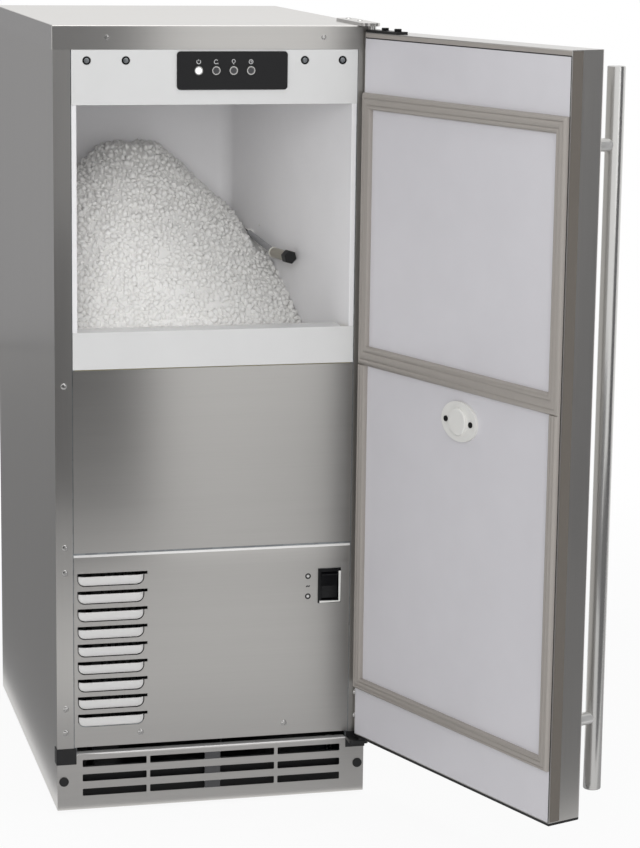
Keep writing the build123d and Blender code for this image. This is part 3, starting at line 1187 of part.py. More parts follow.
with BuildPart() as drain_tube:
    with BuildLine():
        drain_path = FilletPolyline(
            (DRAIN_X, FRONT + DRAIN_IN, BIN_FLOOR - LINER),
            (DRAIN_X, FRONT + DRAIN_IN, DRAIN_Z),
            (DRAIN_X, BACK + NIPPLE_OUT, DRAIN_Z),
            radius=DRAIN_BEND,
        )
    with BuildSketch(Plane(drain_path @ 0, z_dir=drain_path % 0)):
        Circle(DRAIN_RADIUS)
        Circle(DRAIN_RADIUS - DRAIN_WALL, mode=Mode.SUBTRACT)
    sweep(path=drain_path)
drain_tube.part.label = "drain_tube"
export_step(drain_tube.part, "parts/drain_tube.step")

with BuildPart() as cord_gland:
    gland = [(GLAND_X, GLAND_Z)]
    rods_back(gland, GLAND_RADIUS, REAR_IN - GLAND_IN, GLAND_IN + BACK + GLAND_OUT - REAR_IN)
    rods_back(gland, GLAND_FLANGE, BACK - SHEET, GLAND_RIM)
    rods_back(gland, GLAND_FLANGE, REAR_IN - GLAND_RIM, GLAND_RIM)
    rods_back(gland, GLAND_BORE, REAR_IN - GLAND_IN, GLAND_IN + BACK + GLAND_OUT - REAR_IN, Mode.SUBTRACT)
cord_gland.part.label = "cord_gland"
export_step(cord_gland.part, "parts/cord_gland.step")

# Refrigeration

with BuildPart() as compressor:
    compressor_y = BACK - COMPRESSOR_BACK
    plate_low = BASE_TOP + COMPRESSOR_FEET
    can_low = plate_low + COMPRESSOR_PLATE
    rods_up([(COMPRESSOR_X, compressor_y)], COMPRESSOR_RADIUS, can_low, COMPRESSOR_HEIGHT)
    fillet(compressor.edges().filter_by(GeomType.CIRCLE).sort_by(Axis.Z)[-1], COMPRESSOR_DOME)
    fillet(compressor.edges().filter_by(GeomType.CIRCLE).sort_by(Axis.Z)[0], COMPRESSOR_DOME / 2)
    half = COMPRESSOR_PLATE_SIZE / 2
    slab((COMPRESSOR_X - half, COMPRESSOR_X + half), (compressor_y - half, compressor_y + half),
         (plate_low, can_low))
    span = GROMMET_SPAN / 2
    spots = [(COMPRESSOR_X + sx * span, compressor_y + sy * span) for sx in (-1, 1) for sy in (-1, 1)]
    rods_up(spots, GROMMET_RADIUS, BASE_TOP, COMPRESSOR_FEET)
compressor.part.label = "compressor"
export_step(compressor.part, "parts/compressor.step")

fan_y = FRONT + CONDENSER_IN + CONDENSER_DEPTH + FAN_GAP
condenser_z = (BASE_TOP + CONDENSER_LIFT, SHELF_LOW - CONDENSER_HEAD_ROOM)
fan_z = (condenser_z[0] + condenser_z[1]) / 2
motor_y = fan_y + FAN_HUB_LENGTH + FAN_RUN_GAP

with BuildPart() as condenser:
    core_x = (CONDENSER_X - CONDENSER_WIDTH / 2, CONDENSER_X + CONDENSER_WIDTH / 2)
    core_y = (FRONT + CONDENSER_IN, FRONT + CONDENSER_IN + CONDENSER_DEPTH)
    slab(core_x, core_y, condenser_z)
    fin_count = int((CONDENSER_WIDTH - FIN_PITCH) / FIN_PITCH)
    fin_z = condenser_z[1] - condenser_z[0]
    for y in (core_y[0] + FIN_SLOT_DEPTH / 2, core_y[1] - FIN_SLOT_DEPTH / 2):
        with Locations((CONDENSER_X, y, fan_z)):
            with GridLocations(FIN_PITCH, FIN_PITCH, fin_count, 1):
                Box(FIN_SLOT, FIN_SLOT_DEPTH, fin_z, mode=Mode.SUBTRACT)
    for side in (-1, 1):
        plate_x = CONDENSER_X + side * CONDENSER_WIDTH / 2
        slab((plate_x, plate_x + side * CONDENSER_PLATE), core_y, (BASE_TOP, condenser_z[1]))
condenser.part.label = "condenser"
export_step(condenser.part, "parts/condenser.step")

fan_plane = Plane(origin=(CONDENSER_X, fan_y + FAN_HUB_LENGTH / 2, fan_z), x_dir=(1, 0, 0), z_dir=(0, -1, 0))
with BuildPart(fan_plane) as fan_blade:
    Cylinder(FAN_HUB, FAN_HUB_LENGTH)
    root = FAN_HUB - FAN_BLADE_THICK
    with PolarLocations(root, FAN_BLADES):
        Box(FAN_RADIUS - root, FAN_BLADE_WIDTH, FAN_BLADE_THICK, rotation=(FAN_BLADE_PITCH, 0, 0),
            align=(Align.MIN, Align.CENTER, Align.CENTER))
    Cylinder(FAN_SHAFT + FIT, FAN_HUB_LENGTH, mode=Mode.SUBTRACT)
fan_blade.part.label = "fan_blade"
export_step(fan_blade.part, "parts/fan_blade.step")

with BuildPart() as fan_motor:
    fan_spot = [(CONDENSER_X, fan_z)]
    bracket_y = motor_y + FAN_MOTOR_LENGTH
    bracket_x = (CONDENSER_X - FAN_BRACKET_WIDTH / 2, CONDENSER_X + FAN_BRACKET_WIDTH / 2)
    rods_back(fan_spot, FAN_MOTOR_RADIUS, motor_y, FAN_MOTOR_LENGTH)
    rods_back(fan_spot, FAN_SHAFT, fan_y, FAN_HUB_LENGTH + FAN_RUN_GAP)
    slab(bracket_x, (bracket_y, bracket_y + FAN_BRACKET), (BASE_TOP, fan_z + FAN_MOTOR_RADIUS))
    slab(bracket_x, (bracket_y, bracket_y + FAN_BRACKET_FOOT), (BASE_TOP, BASE_TOP + FAN_BRACKET))
fan_motor.part.label = "fan_motor"
export_step(fan_motor.part, "parts/fan_motor.step")
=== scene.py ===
import json
import math
import random

import bmesh
import bpy
from bpy.props import FloatProperty, FloatVectorProperty, IntProperty, PointerProperty
from mathutils import Matrix, Vector

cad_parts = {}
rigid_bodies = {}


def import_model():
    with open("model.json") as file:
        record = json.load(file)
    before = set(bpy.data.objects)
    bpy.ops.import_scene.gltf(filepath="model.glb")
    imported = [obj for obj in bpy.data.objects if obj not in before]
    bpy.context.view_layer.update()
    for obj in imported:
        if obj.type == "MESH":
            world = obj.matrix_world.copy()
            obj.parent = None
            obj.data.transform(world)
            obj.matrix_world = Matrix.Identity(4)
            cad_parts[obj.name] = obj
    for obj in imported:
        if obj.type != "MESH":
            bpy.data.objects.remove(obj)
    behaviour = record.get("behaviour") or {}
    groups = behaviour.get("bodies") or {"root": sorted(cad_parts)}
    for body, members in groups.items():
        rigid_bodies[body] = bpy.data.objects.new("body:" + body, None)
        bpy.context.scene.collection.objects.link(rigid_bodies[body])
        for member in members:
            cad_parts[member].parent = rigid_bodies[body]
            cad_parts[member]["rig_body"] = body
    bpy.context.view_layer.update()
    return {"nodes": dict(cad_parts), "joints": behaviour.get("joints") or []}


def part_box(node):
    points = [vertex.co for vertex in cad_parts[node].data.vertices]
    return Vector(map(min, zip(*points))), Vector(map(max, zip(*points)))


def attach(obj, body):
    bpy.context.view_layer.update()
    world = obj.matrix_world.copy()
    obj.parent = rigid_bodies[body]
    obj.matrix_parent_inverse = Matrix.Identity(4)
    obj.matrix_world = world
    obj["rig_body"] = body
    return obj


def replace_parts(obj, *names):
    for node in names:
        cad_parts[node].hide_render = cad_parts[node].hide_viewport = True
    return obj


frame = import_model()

bl_info = {
    "name": "Nugget Ice Maker",
    "version": (1, 0, 0),
    "blender": (4, 5, 0),
    "location": "View3D > Sidebar > Ice Maker",
    "description": "Dresses the CAD frame of a nugget ice maker with an open door for a product picture",
    "category": "Object",
}

NODES = frame["nodes"]
JOINTS = {joint["name"]: joint for joint in frame["joints"]}
MM = 0.001

# The door's own directions at rest: along it from the hinge, and out through its steel face.
HINGE = Vector(JOINTS["door_hinge"]["pos_m"])
DOOR_OPEN = math.radians(-JOINTS["door_hinge"]["range_deg"][0])
DOOR_ALONG = Vector((-math.cos(DOOR_OPEN), -math.sin(DOOR_OPEN), 0))
DOOR_OUT = Vector((math.sin(DOOR_OPEN), -math.cos(DOOR_OPEN), 0))


def linear(code):
    """Linear RGBA from an sRGB hex code."""
    parts = [int(code[i:i + 2], 16) / 255 for i in (1, 3, 5)]
    bent = [c / 12.92 if c <= 0.04045 else ((c + 0.055) / 1.055) ** 2.4 for c in parts]
    return (*bent, 1.0)


def colour_property(name, description, code):
    """A colour setting with an sRGB hex code as its default."""
    return FloatVectorProperty(name=name, description=description, subtype="COLOR", size=4,
                               min=0, max=1, default=linear(code))


def length_property(name, description, metres):
    """A length setting in metres."""
    return FloatProperty(name=name, description=description, unit="LENGTH", default=metres, min=0,
                         precision=4)


class FinishSettings(bpy.types.PropertyGroup):
    """Colours and gloss of the materials."""

    steel: colour_property("Stainless steel", "Body colour of the brushed sheet", "#C7C5C2")
    bright: colour_property("Bright steel", "Colour of tubes, pins and screw heads", "#CFCECC")
    zinc: colour_property("Galvanised steel", "Colour of the zinc coat", "#A9ADB0")
    white: colour_property("White plastic", "Colour of the fascia and the sill", "#DFDFDE")
    bin: colour_property("Bin liner", "Colour of the bin's inside", "#F1F0F1")
    door: colour_property("Door liner", "Colour of the door's inside", "#DAD8DC")
    boss: colour_property("Boss plastic", "Colour of the boss on the door liner", "#E6E5E1")
    gasket: colour_property("Gasket", "Colour of the door seal", "#A39D97")
    black: colour_property("Black plastic", "Colour of blocks, plugs and strips", "#161617")
    gloss: colour_property("Control panel", "Colour of the glossy panel", "#141416")
    ice: colour_property("Ice", "Colour of the nuggets", "#FFFEFB")


class EdgeSettings(bpy.types.PropertyGroup):
    """Edge radii that the CAD leaves sharp."""

    sheet: length_property("Sheet edge", "Easing of folded and cut sheet", 0.3 * MM)
    moulded: length_property("Moulded edge", "Easing of plastic mouldings", 0.7 * MM)
    heavy: length_property("Heavy edge", "Easing of castings and bars", 0.9 * MM)


class IceSettings(bpy.types.PropertyGroup):
    """The nuggets on the heap."""

    spacing: length_property("Spacing", "Least distance between nuggets", 5.2 * MM)
    nugget: length_property("Nugget size", "Mean half width of a nugget", 4.3 * MM)
    clear: length_property("Clear", "Bare distance round the bin sensor", 8 * MM)
    seed: IntProperty(name="Seed", description="Start of the random draws", default=11, min=0)


class LouvreSettings(bpy.types.PropertyGroup):
    """The column of pressed louvres in the service panel."""

    count: IntProperty(name="Count", description="Number of louvres", default=9, min=1)
    pitch: length_property("Pitch", "Distance from one louvre to the next", 20.6 * MM)
    side: length_property("Side", "Distance of the slits from the panel's left edge", 4 * MM)
    drop: length_property("Drop", "Distance of the first hood from the panel's top edge", 26 * MM)
    slit: length_property("Slit", "Length of a slit", 80 * MM)
    gap: length_property("Gap", "Height of a slit", 3.5 * MM)
    hood: length_property("Hood", "Length of a hood", 74.5 * MM)
    rise: length_property("Rise", "Height of a hood", 11 * MM)
    corner: length_property("Corner", "Radius of a hood's lower corners", 7.5 * MM)


class StageSettings(bpy.types.PropertyGroup):
    """Camera, lamps and floor."""

    eye: FloatVectorProperty(name="Camera place", description="Where the camera stands", size=3,
                             subtype="TRANSLATION", unit="LENGTH", default=(-0.5907, -3.1163, 1.0343))
    azimuth: FloatProperty(name="Azimuth", description="Turn of the view from straight back to the right",
                           subtype="ANGLE", default=math.radians(13.974))
    elevation: FloatProperty(name="Elevation", description="How far the view looks down", subtype="ANGLE",
                             default=math.radians(11.308))
    roll: FloatProperty(name="Roll", description="Tilt of the picture", subtype="ANGLE",
                        default=math.radians(0.755))
    lens: FloatProperty(name="Lens", description="Focal length on a 36 mm wide sensor",
                        subtype="DISTANCE_CAMERA", default=112.57, min=1)
    key: FloatProperty(name="Key lamp", description="Power of the large lamp beside the camera",
                       subtype="POWER", default=38, min=0)
    fill: FloatProperty(name="Fill lamp", description="Power of the lamp on the right", subtype="POWER",
                        default=8, min=0)
    over: FloatProperty(name="Top lamp", description="Power of the lamp overhead", subtype="POWER",
                        default=16, min=0)
    ambient: FloatProperty(name="Ambient", description="Brightness of the white room", default=0.5, min=0,
                           subtype="FACTOR")
    bin_light: FloatProperty(name="Bin light", description="Power of the lamp under the bin's ceiling",
                             subtype="POWER", default=0.03, min=0)


class IceMakerSettings(bpy.types.PropertyGroup):
    """All settings of the scene."""

    finish: PointerProperty(type=FinishSettings, name="Finish", description="Colours and gloss")
    edges: PointerProperty(type=EdgeSettings, name="Edges", description="Edge radii")
    ice: PointerProperty(type=IceSettings, name="Ice", description="Nuggets on the heap")
    louvres: PointerProperty(type=LouvreSettings, name="Louvres", description="Louvres of the service panel")
    stage: PointerProperty(type=StageSettings, name="Stage", description="Camera, lamps and floor")


def settings():
    """The scene's settings."""
    return bpy.context.scene.ice_maker


# Materials

def add(tree, kind, values=None, **attributes):
    """Add a node, set its attributes, and set or link its inputs."""
    made = tree.nodes.new(kind)
    for name, value in attributes.items():
        setattr(made, name, value)
    for key, value in (values or {}).items():
        if isinstance(value, bpy.types.NodeSocket):
            tree.links.new(value, made.inputs[key])
        else:
            made.inputs[key].default_value = value
    return made


def new_tree(name):
    """The empty node tree of a new material."""
    material = bpy.data.materials.new(name)
    material.use_nodes = True
    material.node_tree.nodes.clear()
    return material.node_tree


def shade(tree, values):
    """End a material's tree in a Principled shader."""
    shader = add(tree, "ShaderNodeBsdfPrincipled", values)
    add(tree, "ShaderNodeOutputMaterial", {"Surface": shader.outputs["BSDF"]})


def scaled(colour, factor):
    """A colour made lighter or darker."""
    return (*[min(1.0, c * factor) for c in colour[:3]], 1.0)


# Real brush marks are about 0.2 mm wide, under a pixel, so they are drawn 1.2 mm wide and 110 mm long.
GRAIN_WIDE = 1.2 * MM
GRAIN_LONG = 110 * MM
# The belt leaves broader, fainter bands as well.
BAND_WIDE = 14 * MM
BAND_LONG = 420 * MM
BAND_SHARE = 0.35
# The grain's direction leans a little, so that no flat face lies square to it.
GRAIN_LEAN = 0.02


def brushed_steel(name, colour, along, gloss, metal=1.0):
    """Rolled stainless sheet, belt brushed: fine streaks soften every reflection across them."""
    tree = new_tree(name)
    place = add(tree, "ShaderNodeTexCoord")
    layers = []
    for wide, long, detail in ((GRAIN_WIDE, GRAIN_LONG, 2.0), (BAND_WIDE, BAND_LONG, 1.0)):
        scale = [1 / (long if axis == along else wide) for axis in "XYZ"]
        stretch = add(tree, "ShaderNodeMapping", {"Vector": place.outputs["Object"], "Scale": scale})
        noise = add(tree, "ShaderNodeTexNoise",
                    {"Vector": stretch.outputs["Vector"], "Scale": 1.0, "Detail": detail})
        layers.append(noise.outputs["Fac"])
    streaks, bands = layers
    both = add(tree, "ShaderNodeMix", {0: BAND_SHARE, 2: streaks, 3: bands}, data_type="FLOAT")
    sheen = add(tree, "ShaderNodeMapRange",
                {"Value": streaks, "To Min": gloss - 0.04, "To Max": gloss + 0.04})
    tint = add(tree, "ShaderNodeMix", {0: both.outputs[0], 6: scaled(colour, 0.95), 7: scaled(colour, 1.04)},
               data_type="RGBA")
    marks = add(tree, "ShaderNodeBump", {"Height": streaks, "Strength": 0.04, "Distance": 0.2 * MM})
    surface = add(tree, "ShaderNodeNewGeometry")
    grain = [1.0 if axis == along else GRAIN_LEAN for axis in "XYZ"]
    across = add(tree, "ShaderNodeVectorMath", {0: surface.outputs["Normal"], 1: grain},
                 operation="CROSS_PRODUCT")
    shade(tree, {"Base Color": tint.outputs[2], "Metallic": metal, "Roughness": sheen.outputs["Result"],
                 "Anisotropic": 0.6, "Tangent": across.outputs["Vector"], "Normal": marks.outputs["Normal"]})


# Width of a zinc spangle.
SPANGLE = 9 * MM


def galvanised(name, colour):
    """Hot-dip zinc on steel: grey spangles, each with its own dull sheen."""
    tree = new_tree(name)
    place = add(tree, "ShaderNodeTexCoord")
    cells = add(tree, "ShaderNodeTexVoronoi", {"Vector": place.outputs["Object"], "Scale": 1 / SPANGLE})
    facet = add(tree, "ShaderNodeSeparateColor", {"Color": cells.outputs["Color"]})
    tint = add(tree, "ShaderNodeMix",
               {0: facet.outputs["Red"], 6: scaled(colour, 0.82), 7: scaled(colour, 1.1)}, data_type="RGBA")
    sheen = add(tree, "ShaderNodeMapRange",
                {"Value": facet.outputs["Green"], "To Min": 0.36, "To Max": 0.56})
    shade(tree, {"Base Color": tint.outputs[2], "Metallic": 1.0, "Roughness": sheen.outputs["Result"]})


# Length over which a moulded or painted skin changes its tone.
CLOUD = 45 * MM


def moulded(name, colour, gloss, peel=1.6 * MM, relief=0.03, metal=0.0, shift=0.95, ior=1.5):
    """Moulded, cast or painted skin: a faint cloudy tone, and a fine orange peel that breaks up the gloss."""
    tree = new_tree(name)
    place = add(tree, "ShaderNodeTexCoord")
    cloud = add(tree, "ShaderNodeTexNoise",
                {"Vector": place.outputs["Object"], "Scale": 1 / CLOUD, "Detail": 2.0})
    tint = add(tree, "ShaderNodeMix", {0: cloud.outputs["Fac"], 6: scaled(colour, shift), 7: colour},
               data_type="RGBA")
    skin = add(tree, "ShaderNodeTexNoise",
               {"Vector": place.outputs["Object"], "Scale": 1 / peel, "Detail": 2.0})
    sheen = add(tree, "ShaderNodeMapRange",
                {"Value": skin.outputs["Fac"], "To Min": gloss - 0.05, "To Max": gloss + 0.05})
    bumps = add(tree, "ShaderNodeBump",
                {"Height": skin.outputs["Fac"], "Strength": relief, "Distance": 0.3 * MM})
    shade(tree, {"Base Color": tint.outputs[2], "Metallic": metal, "Roughness": sheen.outputs["Result"],
                 "IOR": ior, "Normal": bumps.outputs["Normal"]})


def lit_lens(name, colour):
    """A backlit button lens: pale moulded plastic that glows softly, brightest in its cloudy parts."""
    tree = new_tree(name)
    place = add(tree, "ShaderNodeTexCoord")
    grain = 2 * MM
    cloud = add(tree, "ShaderNodeTexNoise", {"Vector": place.outputs["Object"], "Scale": 1 / grain})
    glow = add(tree, "ShaderNodeMix", {0: cloud.outputs["Fac"], 6: scaled(colour, 0.8), 7: colour},
               data_type="RGBA")
    shade(tree, {"Base Color": glow.outputs[2], "Roughness": 0.3, "Emission Color": glow.outputs[2],
                 "Emission Strength": 0.55})


# The heap is milky at the front and on the left, and painted greyer up at the rear and down the right side:
# painted shade where the bin shades the heap.
# The change runs between these two lengths, each the place to the right and the height added up.
UNSHADED_TO = 550 * MM
SHADED_FROM = 660 * MM
# Sizes of the cloudy patches in the ice and of the grains on its skin.
FROST = 16 * MM
RIME = 3 * MM


def frozen(name, colour):
    """Chewable nugget ice, frozen from flakes: milky lumps with a little glow and a wet, uneven shine."""
    tree = new_tree(name)
    place = add(tree, "ShaderNodeTexCoord")
    cloud = add(tree, "ShaderNodeTexNoise",
                {"Vector": place.outputs["Object"], "Scale": 1 / FROST, "Detail": 3.0})
    tint = add(tree, "ShaderNodeMix", {0: cloud.outputs["Fac"], 6: scaled(colour, 0.94), 7: colour},
               data_type="RGBA")
    # Painted shade: greyer towards the rear top and the right, where the bin's ceiling and walls shade the
    # heap.
    reach = add(tree, "ShaderNodeVectorMath", {0: place.outputs["Object"], 1: (1, 0, 1)},
                operation="DOT_PRODUCT")
    shade_grade = add(tree, "ShaderNodeMapRange",
                {"Value": reach.outputs["Value"], "From Min": UNSHADED_TO, "From Max": SHADED_FROM})
    tone = add(tree, "ShaderNodeMix",
               {0: shade_grade.outputs["Result"], 6: tint.outputs[2], 7: scaled(colour, 0.79)}, data_type="RGBA")
    rime = add(tree, "ShaderNodeTexNoise",
               {"Vector": place.outputs["Object"], "Scale": 1 / RIME, "Detail": 2.0})
    sheen = add(tree, "ShaderNodeMapRange", {"Value": rime.outputs["Fac"], "To Min": 0.25, "To Max": 0.5})
    bumps = add(tree, "ShaderNodeBump",
                {"Height": rime.outputs["Fac"], "Strength": 0.2, "Distance": 0.6 * MM})
    shade(tree, {"Base Color": tone.outputs[2], "Roughness": sheen.outputs["Result"], "IOR": 1.31,
                 "Subsurface Weight": 0.15, "Subsurface Radius": (1.0, 1.0, 1.0), "Subsurface Scale": 3 * MM,
                 "Normal": bumps.outputs["Normal"]})


def circuit(name, colour):
    """Glass-fibre board with green solder mask: square traces show through as a slightly lighter pattern."""
    tree = new_tree(name)
    place = add(tree, "ShaderNodeTexCoord")
    field = 14 * MM
    traces = add(tree, "ShaderNodeTexBrick",
                 {"Vector": place.outputs["Object"], "Scale": 1 / field, "Color1": colour,
                  "Color2": scaled(colour, 1.3), "Mortar": scaled(colour, 1.8)})
    shade(tree, {"Base Color": traces.outputs["Color"], "Roughness": 0.42})


# Each look: how it is made, the setting or code that gives its colour, and what the maker also takes.
LOOKS = {
    "stainless_brushed_level": (brushed_steel, "steel", {"along": "X", "gloss": 0.3}),
    "stainless_brushed_upright": (brushed_steel, "steel", {"along": "Z", "gloss": 0.3}),
    "stainless_tube_polished": (brushed_steel, "bright", {"along": "Z", "gloss": 0.22}),
    "stainless_turned": (brushed_steel, "bright", {"along": "Y", "gloss": 0.2}),
    "steel_galvanised": (galvanised, "zinc", {}),
    # A paler, less metallic copy of the stainless steel: painted highlight on the hoods, the fold and the
    # lip.
    "stainless_pressed_bright": (brushed_steel, "#F0EFED", {"along": "X", "gloss": 0.34, "metal": 0.3}),
    # A paler, less metallic copy of the steel on the handle's posts: painted highlight.
    "stainless_post_turned": (brushed_steel, "#E2E1DF", {"along": "Y", "gloss": 0.3, "metal": 0.6}),
    "abs_white_gloss": (moulded, "white", {"gloss": 0.24}),
    "polystyrene_bin_formed": (moulded, "bin", {"gloss": 0.3}),
    "polystyrene_door_formed": (moulded, "door", {"gloss": 0.24}),
    "abs_boss_satin": (moulded, "boss", {"gloss": 0.34}),
    "vinyl_gasket_extruded": (moulded, "gasket", {"gloss": 0.52, "relief": 0.08}),
    "breaker_vinyl_brown": (moulded, "#6A645D", {"gloss": 0.45}),
    "abs_black_textured": (moulded, "black", {"gloss": 0.46, "relief": 0.12, "shift": 0.8}),
    "acrylic_black_gloss": (moulded, "gloss", {"gloss": 0.14, "shift": 0.85, "ior": 1.34}),
    "steel_black_oxide": (moulded, "black", {"gloss": 0.4, "metal": 0.6, "shift": 0.8}),
    "steel_black_painted": (moulded, "#1B1B1C", {"gloss": 0.36, "relief": 0.06}),
    # Grey on the kick plate's web: painted shade, a post in shade seen through one long slot.
    "steel_grey_primed": (moulded, "#4E4E50", {"gloss": 0.5, "shift": 0.7}),
    "ring_chromed_plastic": (moulded, "bright", {"gloss": 0.2, "metal": 1.0}),
    "lens_smoked": (moulded, "#3A3A3D", {"gloss": 0.2, "shift": 0.8}),
    "lens_lit": (lit_lens, "#F4F6F8", {}),
    "ink_white_printed": (moulded, "#E4E4E4", {"gloss": 0.5, "shift": 0.9}),
    "ink_black_printed": (moulded, "#1A1A1A", {"gloss": 0.5, "shift": 0.9}),
    "ice_nugget_frozen": (frozen, "ice", {}),
    "tube_vinyl_grey": (moulded, "#98989A", {"gloss": 0.3, "shift": 0.8}),
    "barrel_nylon_tan": (moulded, "#9A958A", {"gloss": 0.4}),
    "collar_nylon_natural": (moulded, "#E2DFD6", {"gloss": 0.4}),
    "board_soldermask_green": (circuit, "#1F5A38", {}),
    "food_plastic_satin": (moulded, "#DADCDD", {"gloss": 0.4}),
    "aluminium_die_cast": (moulded, "#B5B7B9",
                           {"gloss": 0.46, "metal": 1.0, "relief": 0.2, "peel": 2.4 * MM}),
    "column_steel_drawn": (brushed_steel, "bright", {"along": "Z", "gloss": 0.34}),
    "foam_poured": (moulded, "#D8CFAA", {"gloss": 0.85, "relief": 0.5, "peel": 3 * MM, "shift": 0.85}),
}


def look(name):
    """A material from the table, made when it is first asked for."""
    if name not in bpy.data.materials:
        maker, colour, extra = LOOKS[name]
        colour = linear(colour) if colour.startswith("#") else tuple(getattr(settings().finish, colour))
        maker(name, colour, **extra)
    return bpy.data.materials[name]


# Shapes

def link(name, mesh):
    """Put a mesh in the scene as an object at the origin."""
    made = bpy.data.objects.new(name, mesh)
    bpy.context.scene.collection.objects.link(made)
    return made


def smooth(mesh, crease):
    """Turn faces outwards and shade them smooth up to a crease angle in degrees."""
    shell = bmesh.new()
    shell.from_mesh(mesh)
    bmesh.ops.recalc_face_normals(shell, faces=shell.faces)
    shell.to_mesh(mesh)
    shell.free()
    mesh.shade_smooth()
    mesh.set_sharp_from_angle(angle=math.radians(crease))


def evaluated(source):
    """The plain mesh that an object's modifiers make."""
    bpy.context.view_layer.update()
    return bpy.data.meshes.new_from_object(source.evaluated_get(bpy.context.evaluated_depsgraph_get()))


# Faces that meet at less than this, in degrees, are shaded as one round surface.
ROUND_TO = 35


class Shape:
    """A mesh in the making: points, faces and the look that each face takes."""

    def __init__(self):
        self.points, self.faces, self.looks = [], [], []

    def add(self, part, which=0):
        """Take in a part's points and faces."""
        points, faces = part
        first = len(self.points)
        self.points.extend(points)
        self.faces.extend([first + i for i in face] for face in faces)
        self.looks.extend([which] * len(faces))
        return self

    def mesh(self, name, looks, crease=ROUND_TO):
        """The finished mesh with its materials."""
        made = bpy.data.meshes.new(name)
        made.from_pydata([tuple(p) for p in self.points], [], self.faces)
        for material in looks:
            made.materials.append(look(material))
        made.polygons.foreach_set("material_index", self.looks)
        smooth(made, crease)
        return made

    def build(self, name, looks, crease=ROUND_TO):
        """The finished mesh as an object."""
        return link(name, self.mesh(name, looks, crease))


def revolve(profile, base, axis, segments=32):
    """Points and faces of a turned part: (along, radius) pairs round an axis, with closed ends."""
    axis = Vector(axis).normalized()
    side = axis.orthogonal().normalized()
    other = axis.cross(side)
    points, rows, faces = [], [], []
    for along, radius in profile:
        centre = Vector(base) + axis * along
        if radius <= 0:
            rows.append([len(points)] * segments)
            points.append(centre)
            continue
        rows.append(list(range(len(points), len(points) + segments)))
        for k in range(segments):
            turn = 2 * math.pi * k / segments
            points.append(centre + side * (radius * math.cos(turn)) + other * (radius * math.sin(turn)))
    for low, high in zip(rows, rows[1:]):
        for k in range(segments):
            n = (k + 1) % segments
            ring = [low[k], low[n], high[n], high[k]]
            faces.append(list(dict.fromkeys(ring)))
    for row in (rows[0], rows[-1]):
        if row[0] != row[1]:
            faces.append(list(row))
    return points, faces


def stroke(path, width, lift, to_space, closed=False):
    """Points and faces of a thin printed line along a flat path; to_space takes (x, y, height)."""
    count = len(path)
    points, faces = [], []
    for i, spot in enumerate(path):
        before = path[i - 1] if closed or i else spot
        after = path[(i + 1) % count] if closed or i + 1 < count else spot
        run = Vector((after[0] - before[0], after[1] - before[1])).normalized()
        off = Vector((-run.y, run.x)) * (width / 2)
        for height in (0, lift):
            for way in (1, -1):
                points.append(to_space(spot[0] + way * off.x, spot[1] + way * off.y, height))
    for i in range(count if closed else count - 1):
        a, b = 4 * i, 4 * ((i + 1) % count)
        for p, q in ((0, 1), (1, 3), (3, 2), (2, 0)):
            faces.append([a + p, a + q, b + q, b + p])
    if not closed:
        last = 4 * (count - 1)
        faces.append([0, 2, 3, 1])
        faces.append([last, last + 1, last + 3, last + 2])
    return points, faces


def arc(centre, radius, start, end, steps=16):
    """Flat points along an arc, in degrees."""
    turns = [math.radians(start + (end - start) * i / steps) for i in range(steps + 1)]
    return [(centre[0] + radius * math.cos(t), centre[1] + radius * math.sin(t)) for t in turns]


# Points of a CAD mesh nearer than this are one point.
SAME_POINT = 0.002 * MM
# Faces that meet at less than this are one flat face.
FLAT = math.radians(0.4)
# Edges sharper than this are eased.
SHARP = math.radians(30)


def merged(node):
    """A CAD node's mesh as a bmesh, with its split points joined."""
    shell = bmesh.new()
    shell.from_mesh(NODES[node].data)
    bmesh.ops.remove_doubles(shell, verts=shell.verts, dist=SAME_POINT)
    return shell


def eased(node, edge, materials, name=None, rolled=None, radius=0.0):
    """A copy of a CAD node with its sharp edges eased and picked edges rolled, which stands for the node."""
    shell = merged(node)
    bmesh.ops.dissolve_limit(shell, angle_limit=FLAT, verts=shell.verts, edges=shell.edges)
    if rolled:
        picked = [e for e in shell.edges if rolled(e)]
        bmesh.ops.bevel(shell, geom=picked, offset=radius, segments=5, profile=0.5, affect="EDGES")
    mesh = bpy.data.meshes.new(node + "_rough")
    shell.to_mesh(mesh)
    shell.free()
    rough = link(node + "_rough", mesh)
    bevel = rough.modifiers.new("edge", "BEVEL")
    bevel.width = edge
    bevel.segments = 2
    bevel.limit_method = "ANGLE"
    bevel.angle_limit = SHARP
    bevel.use_clamp_overlap = True
    weight = rough.modifiers.new("weight", "WEIGHTED_NORMAL")
    weight.keep_sharp = True
    made = evaluated(rough)
    bpy.data.objects.remove(rough)
    bpy.data.meshes.remove(mesh)
    made.name = name or node + "_shell"
    made.materials.clear()
    for material in materials:
        made.materials.append(look(material))
    made.polygons.foreach_set("material_index", [0] * len(made.polygons))
    return stand_for(link(made.name, made), node)


def go_with(piece, node):
    """Let a finished piece ride on a node's body."""
    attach(piece, NODES[node]["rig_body"])
    return piece


def stand_for(piece, node):
    """Let a finished piece go with a node and stand for it."""
    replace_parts(go_with(piece, node), node)
    return piece


def islands(node):
    """Lowest and highest corner of each separate solid in a CAD node."""
    shell = merged(node)
    left, found = set(shell.verts), []
    while left:
        group, todo = set(), [left.pop()]
        while todo:
            point = todo.pop()
            group.add(point)
            for edge in point.link_edges:
                other = edge.other_vert(point)
                if other in left:
                    left.discard(other)
                    todo.append(other)
        low = Vector([min(v.co[i] for v in group) for i in range(3)])
        high = Vector([max(v.co[i] for v in group) for i in range(3)])
        found.append((low, high))
    shell.free()
    return sorted(found, key=lambda pair: tuple(round(c, 5) for c in pair[0]))


